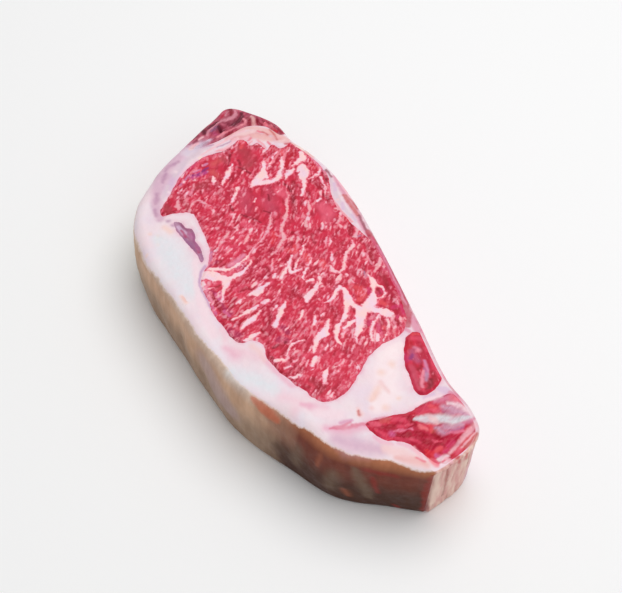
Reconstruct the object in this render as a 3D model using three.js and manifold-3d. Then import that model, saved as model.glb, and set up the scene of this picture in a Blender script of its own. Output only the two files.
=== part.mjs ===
// A raw sirloin (strip loin) steak, lying flat on its lower cut face.
//
// The steak is a slice through the loin, so every muscle runs right through it from the lower cut
// face to the upper one, and the fat fills all that lies between the muscles and covers the outside.
// The frame: X runs along the steak from the chine tip (-X) to the tail (+X), the thick fat cap is
// on the -Y side, the bone side on +Y, and Z is up. The origin is the middle of the footprint at the
// height of the board. Everything is in millimetres.

import * as THREE from "three";
import { mergeVertices } from "three/addons/utils/BufferGeometryUtils.js";
import Module from "manifold-3d";

const wasm = await Module();
wasm.setup();

// ---- Driving dimensions ----

const THICKNESS = 38; // a thick-cut steak
const SEAM_GAP = 0.3; // between a muscle and the fat round it
const FACET = 4.2; // length of a facet round the rim
const SEAM_FACET = 3.4; // length of a facet round a muscle

const EDGE_ROUND = 2.4; // rounding of the upper edge on the bone side and at both ends
const CAP_ROUND = 4.6; // rounding of the upper edge along the fat cap
const FOOT_ROUND = 2.6; // rounding of the lower edge
const CAP_BULGE = 1.4; // how far the fat cap's side stands out at half height
const FOLD_DEPTH = 0.7; // upright folds in the fat cap's side

const TRIM_BEVEL = { x: 68, spread: 13, depth: 4.5 }; // where a knife took more off the cap's edge
const TAIL_LEAN = { from: 82, to: 112, inset: 2.2 }; // the tail's wall leans in towards its foot
const TIP_DROOP = { from: -84, to: -116, drop: 1.2 }; // the loose chine tip sags
const TAIL_DROOP = { from: 74, to: 115, drop: 1.4 };

// The loin's muscles run a little askew, so each outline drifts between the two cut faces.
const DRIFT = { scaleX: 0.96, shiftX: -1, scaleY: 0.94, shiftY: -1.5 };

// ---- Outlines on the upper cut face, counter-clockwise seen from above ----

const RIM = [
  [-115, 23], [-109, 8], [-98, -12], [-87, -29], [-69, -45], [-44, -51], [-14, -49], [21, -46],
  [43, -42], [67, -31], [92, -17], [105, -1], [112, 8], [115, 13], [114, 22], [111, 33],
  [105, 40], [94, 42], [78, 40], [46, 44], [13, 48], [-28, 51], [-51, 50], [-69, 46],
  [-80, 42], [-93, 40], [-105, 33],
];

const EYE = [
  [-91, 17], [-88, 9], [-88, 0], [-86, -9], [-75, -23], [-68, -32], [-62, -34], [-59, -26],
  [-50, -21], [-34, -22], [-22, -28], [-6, -34], [15, -34], [22, -30], [26, -23], [38, -24],
  [50, -20], [65, -13], [65, -5], [61, 4], [53, 14], [49, 27], [45, 37], [30, 42], [5, 45],
  [-17, 43], [-29, 42], [-46, 45], [-63, 44], [-76, 40], [-79, 33], [-86, 23],
];

const TAIL = [
  [82, -2], [90, 1], [94, 8], [100, 12], [108, 15], [110, 23], [107, 32], [101, 37], [93, 38],
  [85, 36], [84, 28], [84, 11],
];

// The chine tip's outline runs past the rim, because that muscle lies open on the outside.
const TIP = [
  [-96, -4], [-95, 6], [-96, 14], [-98, 26], [-94, 34], [-85, 39], [-87, 49], [-106, 46],
  [-127, 27], [-125, 5], [-105, -12],
];

const SIDE = { x: 65, y: 33, halfLength: 16, halfWidth: 6, turn: -17, square: 2.4 };
const SLIVER = { x: -41, y: -29, halfLength: 17, halfWidth: 2.6, turn: 4, square: 1.7 };

// How far each muscle's cut face stands proud of the fat, how ragged it is, and how wide the slope
// at its upper edge is, which makes the seam a groove.
const EYE_FACE = { lift: 0.8, ragged: 0.25, slope: 1.1 };
const TAIL_FACE = { lift: 0.5, ragged: 0.9, slope: 1.1 };
const TIP_FACE = { lift: 0.4, ragged: 1.3, slope: 1.1 };
const SIDE_FACE = { lift: 0.9, ragged: 0.2, slope: 1.1 };
const SLIVER_FACE = { lift: -0.8, ragged: 0, slope: 0 };
const FAT_FACE = { lift: 0, ragged: 0.15, slope: 0 };
const SLOPE_RISE = 0.9; // how far the slopes reach below and above the mean upper face

const LEAN = 0xb5253f;
const DARK_LEAN = 0x8c2238;
const SUET = 0xeedcd8;
const MOIST = 0.42; // roughness of a freshly cut muscle
const WAXY = 0.5; // and of the fat

// ---- Small helpers ----

const radians = THREE.MathUtils.degToRad;
const clamp01 = (t) => THREE.MathUtils.clamp(t, 0, 1);
const ease = (from, to, x) => THREE.MathUtils.smoothstep(clamp01((x - from) / (to - from)), 0, 1);
const bell = (x, middle, spread) => Math.exp(-(((x - middle) / spread) ** 2));

// A smooth closed line through a few points, cut into an even number of equal facets.
function smoothOutline(points, facet) {
  const line = new THREE.CatmullRomCurve3(
    points.map(([x, y]) => new THREE.Vector3(x, y, 0)),
    true,
    "centripetal",
  );
  line.arcLengthDivisions = 1500;
  const count = 8 * Math.max(2, Math.round(line.getLength() / facet / 8));
  return line.getSpacedPoints(count).slice(0, count);
}

// A rounded lens, for the small muscles: a superellipse turned in the plane of the cut.
function lensOutline({ x, y, halfLength, halfWidth, turn, square }, facet) {
  const count = 4 * Math.max(4, Math.round(halfLength / facet));
  const power = (value) => Math.sign(value) * Math.abs(value) ** (2 / square);
  const points = [];
  for (let i = 0; i < count; i++) {
    const angle = (2 * Math.PI * i) / count;
    const along = halfLength * power(Math.cos(angle));
    const across = halfWidth * power(Math.sin(angle));
    const turned = new THREE.Vector3(along, across, 0);
    turned.applyAxisAngle(new THREE.Vector3(0, 0, 1), radians(turn));
    points.push(turned.add(new THREE.Vector3(x, y, 0)));
  }
  return points;
}

// The outward directions at the points of a counter-clockwise outline.
function outwards(points) {
  return points.map((point, i) => {
    const before = points.at(i - 1);
    const after = points[(i + 1) % points.length];
    return new THREE.Vector3(after.y - before.y, before.x - after.x, 0).normalize();
  });
}

// An outline moved outwards by a distance.
function grown(points, distance) {
  const away = outwards(points);
  return points.map((point, i) => point.clone().addScaledVector(away[i], distance));
}

const atHeight = (points, z) => points.map(({ x, y }) => new THREE.Vector3(x, y, z));

// Where a point of the upper cut face has drifted to at height z.
function drifted(point, z) {
  const down = 1 - z / THICKNESS;
  const footX = DRIFT.scaleX * point.x + DRIFT.shiftX;
  const footY = DRIFT.scaleY * point.y + DRIFT.shiftY;
  return new THREE.Vector3(
    THREE.MathUtils.lerp(point.x, footX, down),
    THREE.MathUtils.lerp(point.y, footY, down),
    z,
  );
}

// ---- Meshes and solids ----

function geometryOf(points, triangles) {
  const geometry = new THREE.BufferGeometry().setFromPoints(points);
  geometry.setIndex(triangles.flat());
  return geometry;
}

// Faces between two rings, the upper with as many points as the lower or half as many.
function bandFaces(lowStart, lowCount, highStart, highCount) {
  const faces = [];
  const step = lowCount / highCount;
  for (let j = 0; j < highCount; j++) {
    const high = highStart + j;
    const nextHigh = highStart + ((j + 1) % highCount);
    const low = (k) => lowStart + ((j * step + k) % lowCount);
    for (let k = 0; k < step; k++) {
      faces.push([low(k), low(k + 1), k === 0 ? high : nextHigh]);
    }
    faces.push([low(1), nextHigh, high]);
  }
  return faces;
}

// Closes a ring with flat faces, upwards or downwards.
function capFaces(ring, start, up) {
  const contour = ring.map(({ x, y }) => new THREE.Vector2(x, y));
  const faces = THREE.ShapeUtils.triangulateShape(contour, []);
  return faces.map(([a, b, c]) =>
    up ? [start + a, start + b, start + c] : [start + a, start + c, start + b],
  );
}

// A closed solid through rings of points from its foot to its top.
function loft(rings, topPoint = null) {
  const points = [];
  const starts = [];
  const faces = [];
  for (const ring of rings) {
    starts.push(points.length);
    points.push(...ring);
  }
  for (let i = 1; i < rings.length; i++) {
    faces.push(...bandFaces(starts[i - 1], rings[i - 1].length, starts[i], rings[i].length));
  }
  faces.push(...capFaces(rings[0], 0, false));
  const last = rings.at(-1);
  if (topPoint) {
    points.push(topPoint);
    const start = starts.at(-1);
    last.forEach((_, i) => {
      faces.push([start + i, start + ((i + 1) % last.length), points.length - 1]);
    });
  } else {
    faces.push(...capFaces(last, starts.at(-1), true));
  }
  return solidOf(geometryOf(points, faces));
}

function solidOf(geometry) {
  geometry.deleteAttribute("normal");
  geometry.deleteAttribute("uv");
  const merged = mergeVertices(geometry, 1e-4);
  return new wasm.Manifold(
    new wasm.Mesh({
      numProp: 3,
      vertProperties: new Float32Array(merged.attributes.position.array),
      triVerts: new Uint32Array(merged.index.array),
    }),
  );
}

function meshOf(name, solid, colour, roughness) {
  const { numProp, vertProperties, triVerts } = solid.getMesh();
  const count = vertProperties.length / numProp;
  const position = new Float32Array(count * 3);
  for (let i = 0; i < count; i++) {
    position.set(vertProperties.subarray(i * numProp, i * numProp + 3), i * 3);
  }
  const geometry = new THREE.BufferGeometry();
  geometry.setAttribute("position", new THREE.BufferAttribute(position, 3));
  geometry.setIndex(new THREE.BufferAttribute(new Uint32Array(triVerts), 1));
  geometry.computeVertexNormals();
  const material = new THREE.MeshStandardMaterial({ color: colour, roughness, metalness: 0 });
  const mesh = new THREE.Mesh(geometry, material);
  mesh.name = name;
  return mesh;
}

// ---- The whole slice ----

// The height of the upper cut face, which the knife left gently uneven.
function faceHeight(x, y) {
  const waves =
    0.55 * Math.sin(x / 31 + 0.6) * Math.cos(y / 23) + 0.3 * Math.sin(x / 15 + y / 12);
  const tip = TIP_DROOP.drop * ease(TIP_DROOP.from, TIP_DROOP.to, x);
  const tail = TAIL_DROOP.drop * ease(TAIL_DROOP.from, TAIL_DROOP.to, x);
  return THICKNESS + waves - tip - tail;
}

const raggedness = (x, y) => Math.sin(x / 2.9 + y / 5.3) * Math.cos(y / 3.7 - x / 7.1);

// How much of the fat cap there is where the rim faces this way: 1 along the -Y side.
const capShare = (away) => ease(0.15, 0.75, -away.y);

// How far the side lies inside the rim at height z, for one point of the rim.
function wallInset(point, away, z, round) {
  const cap = capShare(away);
  const share = z / faceHeight(point.x, point.y);
  const top = faceHeight(point.x, point.y) - z;
  const upper = top < round ? round - Math.sqrt(round ** 2 - (round - top) ** 2) : 0;
  const under = FOOT_ROUND - z;
  const lower = under > 0 ? FOOT_ROUND - Math.sqrt(FOOT_ROUND ** 2 - under ** 2) : 0;
  const bulge = CAP_BULGE * cap * Math.sin(Math.PI * share);
  const folds = FOLD_DEPTH * cap * Math.sin(point.x / 5.2 + 2 * Math.sin(point.x / 17));
  const lean = TAIL_LEAN.inset * ease(TAIL_LEAN.from, TAIL_LEAN.to, point.x) * (1 - share);
  return upper + lower - bulge - folds * share * (1 - share) * 4 + lean;
}

// The rounding of the upper edge at one point of the rim.
function edgeRound(point, away) {
  const cap = capShare(away);
  const trim = TRIM_BEVEL.depth * bell(point.x, TRIM_BEVEL.x, TRIM_BEVEL.spread) * cap;
  return THREE.MathUtils.lerp(EDGE_ROUND, CAP_ROUND, cap) + trim;
}

// The whole slice as one solid, with its upper face lifted and ragged as one tissue's is.
function slice(face) {
  const rim = smoothOutline(RIM, FACET);
  const away = outwards(rim);
  const height = (x, y) => faceHeight(x, y) + face.lift + face.ragged * raggedness(x, y);
  const ringAt = (heightOf) =>
    rim.map((point, i) => {
      const round = edgeRound(point, away[i]);
      const z = heightOf(point, round);
      return point.clone().addScaledVector(away[i], -wallInset(point, away[i], z, round)).setZ(z);
    });

  const rings = [];
  for (const turn of [0, 40]) {
    rings.push(ringAt(() => FOOT_ROUND * (1 - Math.cos(radians(turn)))));
  }
  rings.push(ringAt(() => FOOT_ROUND));
  rings.push(ringAt(() => THICKNESS * 0.35));
  rings.push(ringAt(() => THICKNESS * 0.65));
  for (const turn of [0, 30, 60, 88]) {
    const rounded = (point, round) =>
      faceHeight(point.x, point.y) - round * (1 - Math.sin(radians(turn)));
    rings.push(ringAt(rounded));
  }

  // The upper face: rings that shrink towards the middle, halved where the facets grow small.
  const edge = rings.at(-1);
  for (const [share, thin] of [[0.94, 1], [0.86, 1], [0.76, 2], [0.62, 2], [0.46, 4], [0.26, 4]]) {
    const kept = edge.filter((_, i) => i % thin === 0);
    rings.push(
      kept.map(({ x, y }) => new THREE.Vector3(x * share, y * share, height(x * share, y * share))),
    );
  }
  return loft(rings, new THREE.Vector3(0, 0, height(0, 0)));
}

// ---- The muscles and the fat ----

const BELOW = -3; // the cutting prisms start under the board
const ABOVE = 6; // and end this far over the upper face

// The space of a muscle, through the whole slice and past both faces.
function muscleSpace(outline, clearance, slope) {
  const top = THICKNESS + ABOVE;
  const slopeFoot = THICKNESS - SLOPE_RISE;
  const wide = grown(outline, clearance);
  const rings = [BELOW, slopeFoot].map((z) => wide.map((point) => drifted(point, z)));
  if (slope) {
    const narrow = grown(outline, clearance - slope);
    rings.push(narrow.map((point) => drifted(point, THICKNESS + SLOPE_RISE)));
  }
  rings.push(atHeight(rings.at(-1), top));
  return loft(rings);
}

const muscles = [
  { name: "eye_muscle", outline: smoothOutline(EYE, SEAM_FACET), face: EYE_FACE, colour: LEAN },
  { name: "tail_muscle", outline: smoothOutline(TAIL, SEAM_FACET), face: TAIL_FACE, colour: LEAN },
  { name: "tip_muscle", outline: smoothOutline(TIP, SEAM_FACET), face: TIP_FACE, colour: DARK_LEAN },
  { name: "side_muscle", outline: lensOutline(SIDE, SEAM_FACET), face: SIDE_FACE, colour: LEAN },
  {
    name: "sliver_muscle",
    outline: lensOutline(SLIVER, SEAM_FACET),
    face: SLIVER_FACE,
    colour: DARK_LEAN,
  },
];

const steak = new THREE.Group();
steak.name = "raw_sirloin_steak";

let fat = slice(FAT_FACE);
for (const { name, outline, face, colour } of muscles) {
  const muscle = slice(face).intersect(muscleSpace(outline, 0, face.slope));
  fat = fat.subtract(muscleSpace(outline, SEAM_GAP, 0));
  steak.add(meshOf(name, muscle, colour, MOIST));
}
steak.add(meshOf("fat", fat, SUET, WAXY));

export default steak;
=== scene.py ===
"""A raw sirloin steak lying on its lower cut face, with its muscles, marbling and fat."""
import math

import bpy
import numpy as np
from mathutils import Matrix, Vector
from mathutils.geometry import delaunay_2d_cdt
from mathutils.kdtree import KDTree


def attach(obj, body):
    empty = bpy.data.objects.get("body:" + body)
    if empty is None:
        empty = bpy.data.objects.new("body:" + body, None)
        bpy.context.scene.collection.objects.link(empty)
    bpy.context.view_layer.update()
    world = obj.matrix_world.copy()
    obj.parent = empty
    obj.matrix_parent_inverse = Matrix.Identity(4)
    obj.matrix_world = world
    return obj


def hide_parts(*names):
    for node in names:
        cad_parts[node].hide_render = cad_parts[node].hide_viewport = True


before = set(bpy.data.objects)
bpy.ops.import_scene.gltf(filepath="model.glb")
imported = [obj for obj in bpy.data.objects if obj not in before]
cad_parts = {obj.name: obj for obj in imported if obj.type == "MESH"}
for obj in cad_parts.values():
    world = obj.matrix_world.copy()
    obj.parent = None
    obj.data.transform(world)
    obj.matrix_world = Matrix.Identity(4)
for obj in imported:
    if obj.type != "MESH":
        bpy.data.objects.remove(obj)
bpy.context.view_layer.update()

# ---- Sizes, in millimetres: +X runs to the tail, -Y to the thick fat cap, +Z up ----

MM = 0.001
THICKNESS = 38
EDGE_ROUND, CAP_ROUND, FOOT_ROUND = 1.5, 4.6, 2.6
CAP_BULGE = 1.4
FOLD_DEPTH = 0.7
TRIM_X, TRIM_SPREAD, TRIM_DEPTH = 68, 13, 4.5  # where a knife took more off the cap's edge
TAIL_LEAN = (82, 112, 2.2)  # from and to which x, and how far the wall leans in at its foot
TIP_DROOP = (-84, -116, 1.2)  # from and to which x, and how far the loose tip sags
TAIL_DROOP = (74, 115, 1.4)
DRIFT_SCALE, DRIFT_SHIFT = (0.96, 0.94), (-1, -1.5)  # from the upper cut face to the lower one
GROOVE_DEPTH = 1.5  # the split at the corner of the cap and the tail's end
GROOVE_LEAN = 0.07  # how far it runs towards the cap for each millimetre down

# The footprint, counter-clockwise from the bone side, and the muscle that lies open at the tip.
RIM = [
    (46, 44), (13, 48), (-28, 51), (-51, 50), (-69, 46), (-80, 42), (-93, 40), (-105, 33),
    (-115, 23), (-109, 8), (-98, -12), (-87, -29), (-69, -45), (-44, -51), (-14, -49), (21, -46),
    (43, -42), (67, -31), (92, -17), (105, -1), (112, 8), (115, 13), (114, 22), (111, 33),
    (105, 40), (94, 42), (78, 40),
]
TIP = [
    (-96, -4), (-95, 6), (-96, 14), (-98, 26), (-94, 34), (-85, 39), (-87, 49), (-106, 46),
    (-127, 27), (-125, 5), (-105, -12),
]
CORNER = (115, 14)  # where the cap turns into the tail's end
CAP_FACING = (0.15, 0.75)  # how squarely the rim faces -Y where the cap starts and where it is full
END_FADES = (36, 41)  # the y where the folds of the tail's end die out

WALL_STEP = 0.68  # between two columns of the outer wall
SEAM_STEP = 0.5  # along the edge of a muscle
LEAN_STEP = 0.38  # between points of a muscle's upper face
TOP_STEP = 0.46  # of the fat's upper face
FOOT_STEP = 1.5  # and of the lower one
WALL_ROWS = 36
SEAM_DEPTH = 0.18  # the groove between a muscle and the fat round it
FINEST = 0.5  # what lies nearer to the rim than this is pulled in

# How far each tissue's upper face stands proud of the fat's, and how ragged it is.
LIFT = dict(eye=0.35, tail=0.3, tip=0.4, side=0.6, sliver=-0.8, fat=0)
RAGGED = dict(eye=0.25, tail=0.9, tip=1.3, side=0.2, sliver=0.1, fat=0.12)

# The view: the camera looks at TARGET. The places in SEAMS, the marks, BARE, GRAIN and VEINS are
# (across, down) in the view's steps, and the functions below lay them on the upper cut face.
VIEW_WIDTH, VIEW_HEIGHT = 622, 593
LENS, SENSOR = 75, 36
AZIMUTH, ELEVATION, DISTANCE = 64, 52, 600
TARGET = (-1, 14, 19)
VIEW_STEP = 0.53  # how many millimetres one step is on the cut face, for half widths


# ---- Paints: sRGB colours as they look in plain light ----

def shade(red, green, blue):
    """An sRGB colour of 0 to 255 as the linear values that materials take."""
    return tuple((v / 255 / 12.92) if v < 11 else ((v / 255 + 0.055) / 1.055) ** 2.4
                 for v in (red, green, blue))


PAINTS = dict(
    # lean meat
    lean=(220, 44, 78), lean_light=(246, 102, 130), lean_deep=(168, 16, 48), lean_hot=(226, 44, 70),
    darkest=(138, 10, 36), deepest=(168, 14, 42), crimson=(188, 25, 60), blood=(200, 25, 50),
    darkred=(148, 16, 42), hotred=(226, 45, 60), hotpink=(228, 70, 100), rosered=(236, 95, 120),
    magenta=(216, 55, 105), plum=(190, 70, 116), plumred=(176, 40, 85), violet=(200, 78, 150),
    violetpink=(222, 105, 155), purple=(146, 48, 118), mauve=(185, 80, 118), smooth=(205, 72, 98),
    brick=(185, 60, 75), coral=(222, 92, 96), coralred=(236, 80, 90), coralbrown=(205, 105, 105),
    terracotta=(205, 90, 85), salmon=(246, 120, 130), salmonrose=(245, 125, 140),
    maroon=(148, 50, 74), maroonmauve=(160, 104, 142), darkplum=(96, 26, 44),
    dusty=(225, 148, 165), dustyred=(198, 100, 122), dusty_light=(222, 150, 166),
    greymauve=(182, 130, 158), greyviolet=(185, 105, 150),
    # pale streaks and films
    rose=(240, 130, 160), filmpink=(224, 134, 164), pinkglow=(245, 150, 170),
    pinkhaze=(240, 150, 178), pinkline=(246, 150, 162), paleline=(248, 190, 200),
    lilac=(220, 140, 180), lilacfat=(214, 172, 196), lavender=(220, 188, 216),
    lavwhite=(218, 204, 222), bluewhite=(227, 233, 238), greywhite=(222, 200, 212),
    mauvegrey=(188, 140, 172), seamlilac=(195, 150, 190), wisp=(240, 180, 200),
    wispred=(224, 120, 148), creamband=(240, 182, 178), bandrose=(232, 150, 152),
    creampink=(246, 206, 206), cream=(252, 224, 214), peach=(250, 212, 200),
    pinkfat=(244, 205, 216), pinkwhite=(248, 222, 230),
    marbling=(247, 212, 228), warm_marbling=(255, 212, 210), faint_marbling=(252, 130, 154),
    # fat on the cut face
    fat_white=(240, 234, 242), fat_glow=(255, 236, 238), fat_lavender=(236, 212, 226),
    fat_cream=(250, 230, 226), fat_pink=(250, 212, 220), blush=(236, 172, 196),
    # the dried outside of the cap, left and right, from the upper edge down; the low ones partly painted
    # shade
    wall_left_edge=(226, 200, 182), wall_left=(220, 180, 150), wall_left_low=(176, 148, 126),
    wall_right_edge=(190, 122, 88), wall_right=(126, 62, 46), wall_right_low=(82, 50, 38),
    wall_olive=(198, 184, 148), wall_mauve=(186, 160, 160), wall_red=(214, 108, 76),
    wall_maroon=(150, 44, 36), wall_rust=(168, 92, 62), wall_ash=(126, 104, 86),
    wall_tan=(232, 150, 100), edge_cream=(238, 214, 196),
    # the end of the tail and the bone side
    # end_colour also lays end_dark in the creases as painted shade, and end_cream on the folds as painted
    # highlight
    end_beige=(240, 206, 192), end_pink=(230, 150, 152), end_dark=(176, 104, 96),
    end_red=(206, 66, 74), end_cream=(250, 222, 206),
    silverskin=(234, 214, 224), side_pink=(232, 170, 184),
)
COVER = 0.85  # how much of what lies under it a mark hides
SHADED_LEAN, SHADED_CAP, SHADED_END = (0.66, 0.30, 0.46, 1), (0.66, 0.58, 0.54, 1), (0.62, 0.55, 0.5, 1)
CAP_REDDENS = (55.0, 80.0)  # the x from which the cap's outside turns from tan, and where it is all red
ROOM_LIGHT = 0.48

# ---- Where the muscles' seams run on the upper cut face, counter-clockwise ----

SEAMS = dict(
    eye=[
        (160.5, 210.5), (162.5, 216), (175, 213), (192.5, 213.5), (196.5, 219), (206, 239), (209, 250),
        (208, 264), (203.5, 272), (201, 280), (202.5, 290), (207.5, 300), (212, 311), (226, 331),
        (232, 338.5), (240, 343), (250, 340), (257, 341), (263, 345), (268.5, 360), (284, 375.5),
        (309, 394), (319, 400.5), (329, 401.5), (338, 398), (349, 389), (365, 363), (373, 352),
        (384, 343), (401, 334), (406.5, 319), (404, 308), (391, 278), (373, 243), (353, 224.5),
        (337, 206), (331, 194), (327.5, 175), (311, 156.5), (296, 145.5), (289, 143.5), (285, 146.5),
        (279, 148), (274, 144.5), (270, 145), (267, 150), (262.5, 146), (257, 142.5), (250, 145),
        (246, 141), (240, 139.5), (231, 146), (225, 150.5), (207, 155.5), (191, 165.5), (179.5, 178),
        (171, 192),
    ],
    tail=[
        (365, 424), (378, 436), (386, 440), (400, 441.5), (411, 445), (427, 457), (434, 462), (444, 464),
        (454, 461), (464, 455), (473, 447), (478.5, 437), (479, 425), (474, 413), (467, 404),
        (452, 393.5), (443, 396), (421, 403.5), (411.5, 411), (397, 414), (380, 418.5),
    ],
    side=[
        (407.5, 335), (404, 354.5), (404.5, 362.5), (412, 383), (415.5, 391.5), (421.5, 395.5),
        (430, 393), (437, 387), (441.5, 379), (441, 371), (430.5, 346), (424, 336), (416, 332),
    ],
    sliver=[
        (173.5, 222.5), (184.5, 241), (195, 252), (201.5, 262), (203.5, 259), (200, 247),
        (195.5, 240.5), (195, 234), (191.5, 228.5), (186.5, 228), (180.5, 222.5),
    ],
)

# ---- Marks on the cut face: paint, softness, and tapered paths of (across, down, half width) ----

# The dark tip, and the ends of its streaks, which run on into the fat.
TIP_MARKS = [
    ("maroon", 0.7, [(206, 132, 5), (220, 127, 8), (236, 120, 8)]),
    ("dustyred", 1.2, [(200, 138, 2), (206, 137, 2.5), (212, 139, 2.5)]),
    ("darkplum", 0.7,
     [(203, 130, 2), (204.5, 133, 2.2)], [(207, 127.5, 1.5), (213, 125, 1.7), (217, 122, 1.2)]),
    ("maroonmauve", 1, [(212, 131.5, 2.6), (217, 129, 2)]),
    ("plum", 1, [(214, 134.5, 1.8), (219, 135.5, 1.5)]),
    ("darkplum", 0.8, [(219, 129.5, 2), (223, 131, 2)],
     [(233, 125, 2.3), (239, 121, 2.4), (242, 117, 2.2), (241, 113.5, 1.5)]),
    ("dustyred", 1, [(222, 126, 1.4), (227, 126, 1.6), (228, 129.5, 1.4)]),
    ("crimson", 1, [(221, 119, 2.2), (223, 116, 2.4)]),
    ("darkest", 0.7, [(230, 109, 1.2), (231, 112.5, 1.8), (231, 117, 1.6)], [(243, 122.5, 1.3)]),
    ("dusty", 0.9, [(225, 117.5, 1), (227.5, 113, 1.1)], [(235, 112, 1.2), (235.5, 115, 1.3)],
     [(207.5, 136, 1), (209, 131, 1.1), (213, 127.8, 1.1), (217, 125, 1.3), (222, 122.3, 1.3),
      (227, 120.8, 1.4), (232, 118.5, 1.4), (236, 115, 1.5)]),
    ("darkred", 0.7, [(248, 119, 1.8), (250, 123, 1.9), (248, 127, 1.4), (243, 129, 1), (237, 130.3, 1)],
     [(232, 132, 1.2), (228, 135.3, 1.3), (223, 138.7, 1.2), (218, 141.5, 1.1), (213, 143.5, 0.8)]),
    ("pinkline", 0.6,
     [(243.5, 119, 0.9), (246, 122, 1.1), (245, 125, 1.1), (241, 126.5, 1), (236, 128, 1.1),
      (231, 130, 1.1), (227, 133, 1.1), (222, 136, 1.1), (217, 138.7, 0.8)]),
    ("creamband", 0.9, [(252, 118, 1.2), (254, 122, 1.5), (254, 127, 1.8)]),
    ("darkred", 0.7, [(258, 122, 1.8), (261, 124, 2.2), (259, 126.5, 1.4)],
     [(264, 121, 1.1), (270, 124, 1.2), (277, 129, 1.8), (282, 133, 1.5)]),
    ("salmonrose", 0.8, [(264, 123.5, 0.9), (268, 126, 1.1), (273, 129.5, 0.9)]),
    ("blood", 0.8, [(272, 130, 1.4), (277, 131.7, 1.6)]),
    ("coral", 0.9, [(273, 133.5, 1.1), (278, 137, 1), (283, 139, 1.4)]),
]
TIP_END_MARKS = [
    ("lilacfat", 1.2, [(182, 148, 6), (190, 147, 6), (199, 145, 5), (207, 142, 3.5), (211, 141, 2)]),
    ("lavwhite", 1.2, [(186, 153, 4), (194, 149, 4), (202, 144, 3.5), (207, 141.5, 3)]),
    ("creampink", 1, [(191, 149, 2), (195, 145, 1.5)]),
    ("maroon", 0.8,
     [(195, 137, 1.6), (198, 136, 2.2)], [(194, 142.5, 1.8), (197, 140.5, 1.5)], [(190, 144, 1)]),
    ("paleline", 0.8, [(199, 140, 1), (203, 137, 1.2)], [(194, 146, 1), (198, 143, 1)]),
]

# The tail muscle, and the pale sheets of it that run on into the fat.
TAIL_MARKS = [
    ("crimson", 0.6,
     [(372, 424, 1.5), (385, 430, 4), (400, 430, 8), (420, 436, 8), (440, 442, 6), (452, 440, 4)]),
    ("rosered", 0.8, [(367, 423, 1.4), (373, 423.5, 2), (379, 425, 2)]),
    ("darkest", 0.6, [(368, 424, 0.9)]),
    ("coralbrown", 0.7, [(380, 419.5, 1), (386, 419.3, 1.2), (391, 418.5, 1)]),
    ("coral", 1.5, [(381, 421.8, 1.3), (388, 421.6, 1.2)]),
    ("hotpink", 0.9, [(393, 419.5, 1.8), (400, 419, 2.6), (408, 420, 2.5)],
     [(377, 431, 1.4), (381, 435, 2.2), (386, 436, 2.3)]),
    ("blood", 0.8, [(412, 415, 1.6), (417, 413, 1.8)]),
    ("deepest", 0.8,
     [(383, 427.5, 2), (389, 427.5, 2.5), (393, 426, 1.6)], [(409, 418, 2), (412, 423, 1.6)],
     [(414, 426, 1.4)]),
    ("hotpink", 0.8, [(418, 412.5, 1.8), (424, 409.5, 3), (430, 407.8, 2.7)]),
    ("coralred", 1, [(430, 407, 1.6), (435, 409, 1.8)]),
    ("rosered", 1, [(433, 410, 1.5), (440, 411, 1.6)]),
    ("plum", 1.2, [(443, 411.5, 1.3), (448, 413.5, 1.4), (453, 412.5, 1)]),
    ("rose", 0.7, [(394, 431, 0.9), (400, 430, 1.2), (407, 429.3, 1.3), (412, 431, 0.9)]),
    ("violetpink", 1.2, [(392, 434, 2.5)]),
    ("deepest", 0.8, [(398, 435.5, 1.8), (404, 436, 2.2), (410, 436, 1.6)],
     [(416, 434, 1.6), (422, 436, 2), (427, 435, 1.2)], [(424, 443, 1.8), (430, 443, 2)]),
    ("hotpink", 1, [(396, 438.8, 1), (404, 440, 1.2), (412, 440.5, 1.2), (420, 443, 1)],
     [(398, 426.5, 1.4), (404, 426, 1.6)]),
    ("deepest", 0.8, [(434, 436.5, 1.2), (442, 437.5, 1.1)], [(436, 445, 1.6), (443, 446, 1.4)]),
    ("rosered", 0.8, [(433, 441.5, 1), (441, 441.3, 1.2)], [(406, 425, 1.2), (411, 424.5, 1)]),
    ("salmon", 1, [(419, 426, 1.4), (422, 428, 2.5), (426, 429, 1.8)]),
    ("coralred", 1, [(429, 424, 1.4), (432, 427, 2.2), (431, 431, 1.3)]),
    ("terracotta", 1.2, [(434, 432, 1.8), (437, 428, 1.3)]),
]
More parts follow.
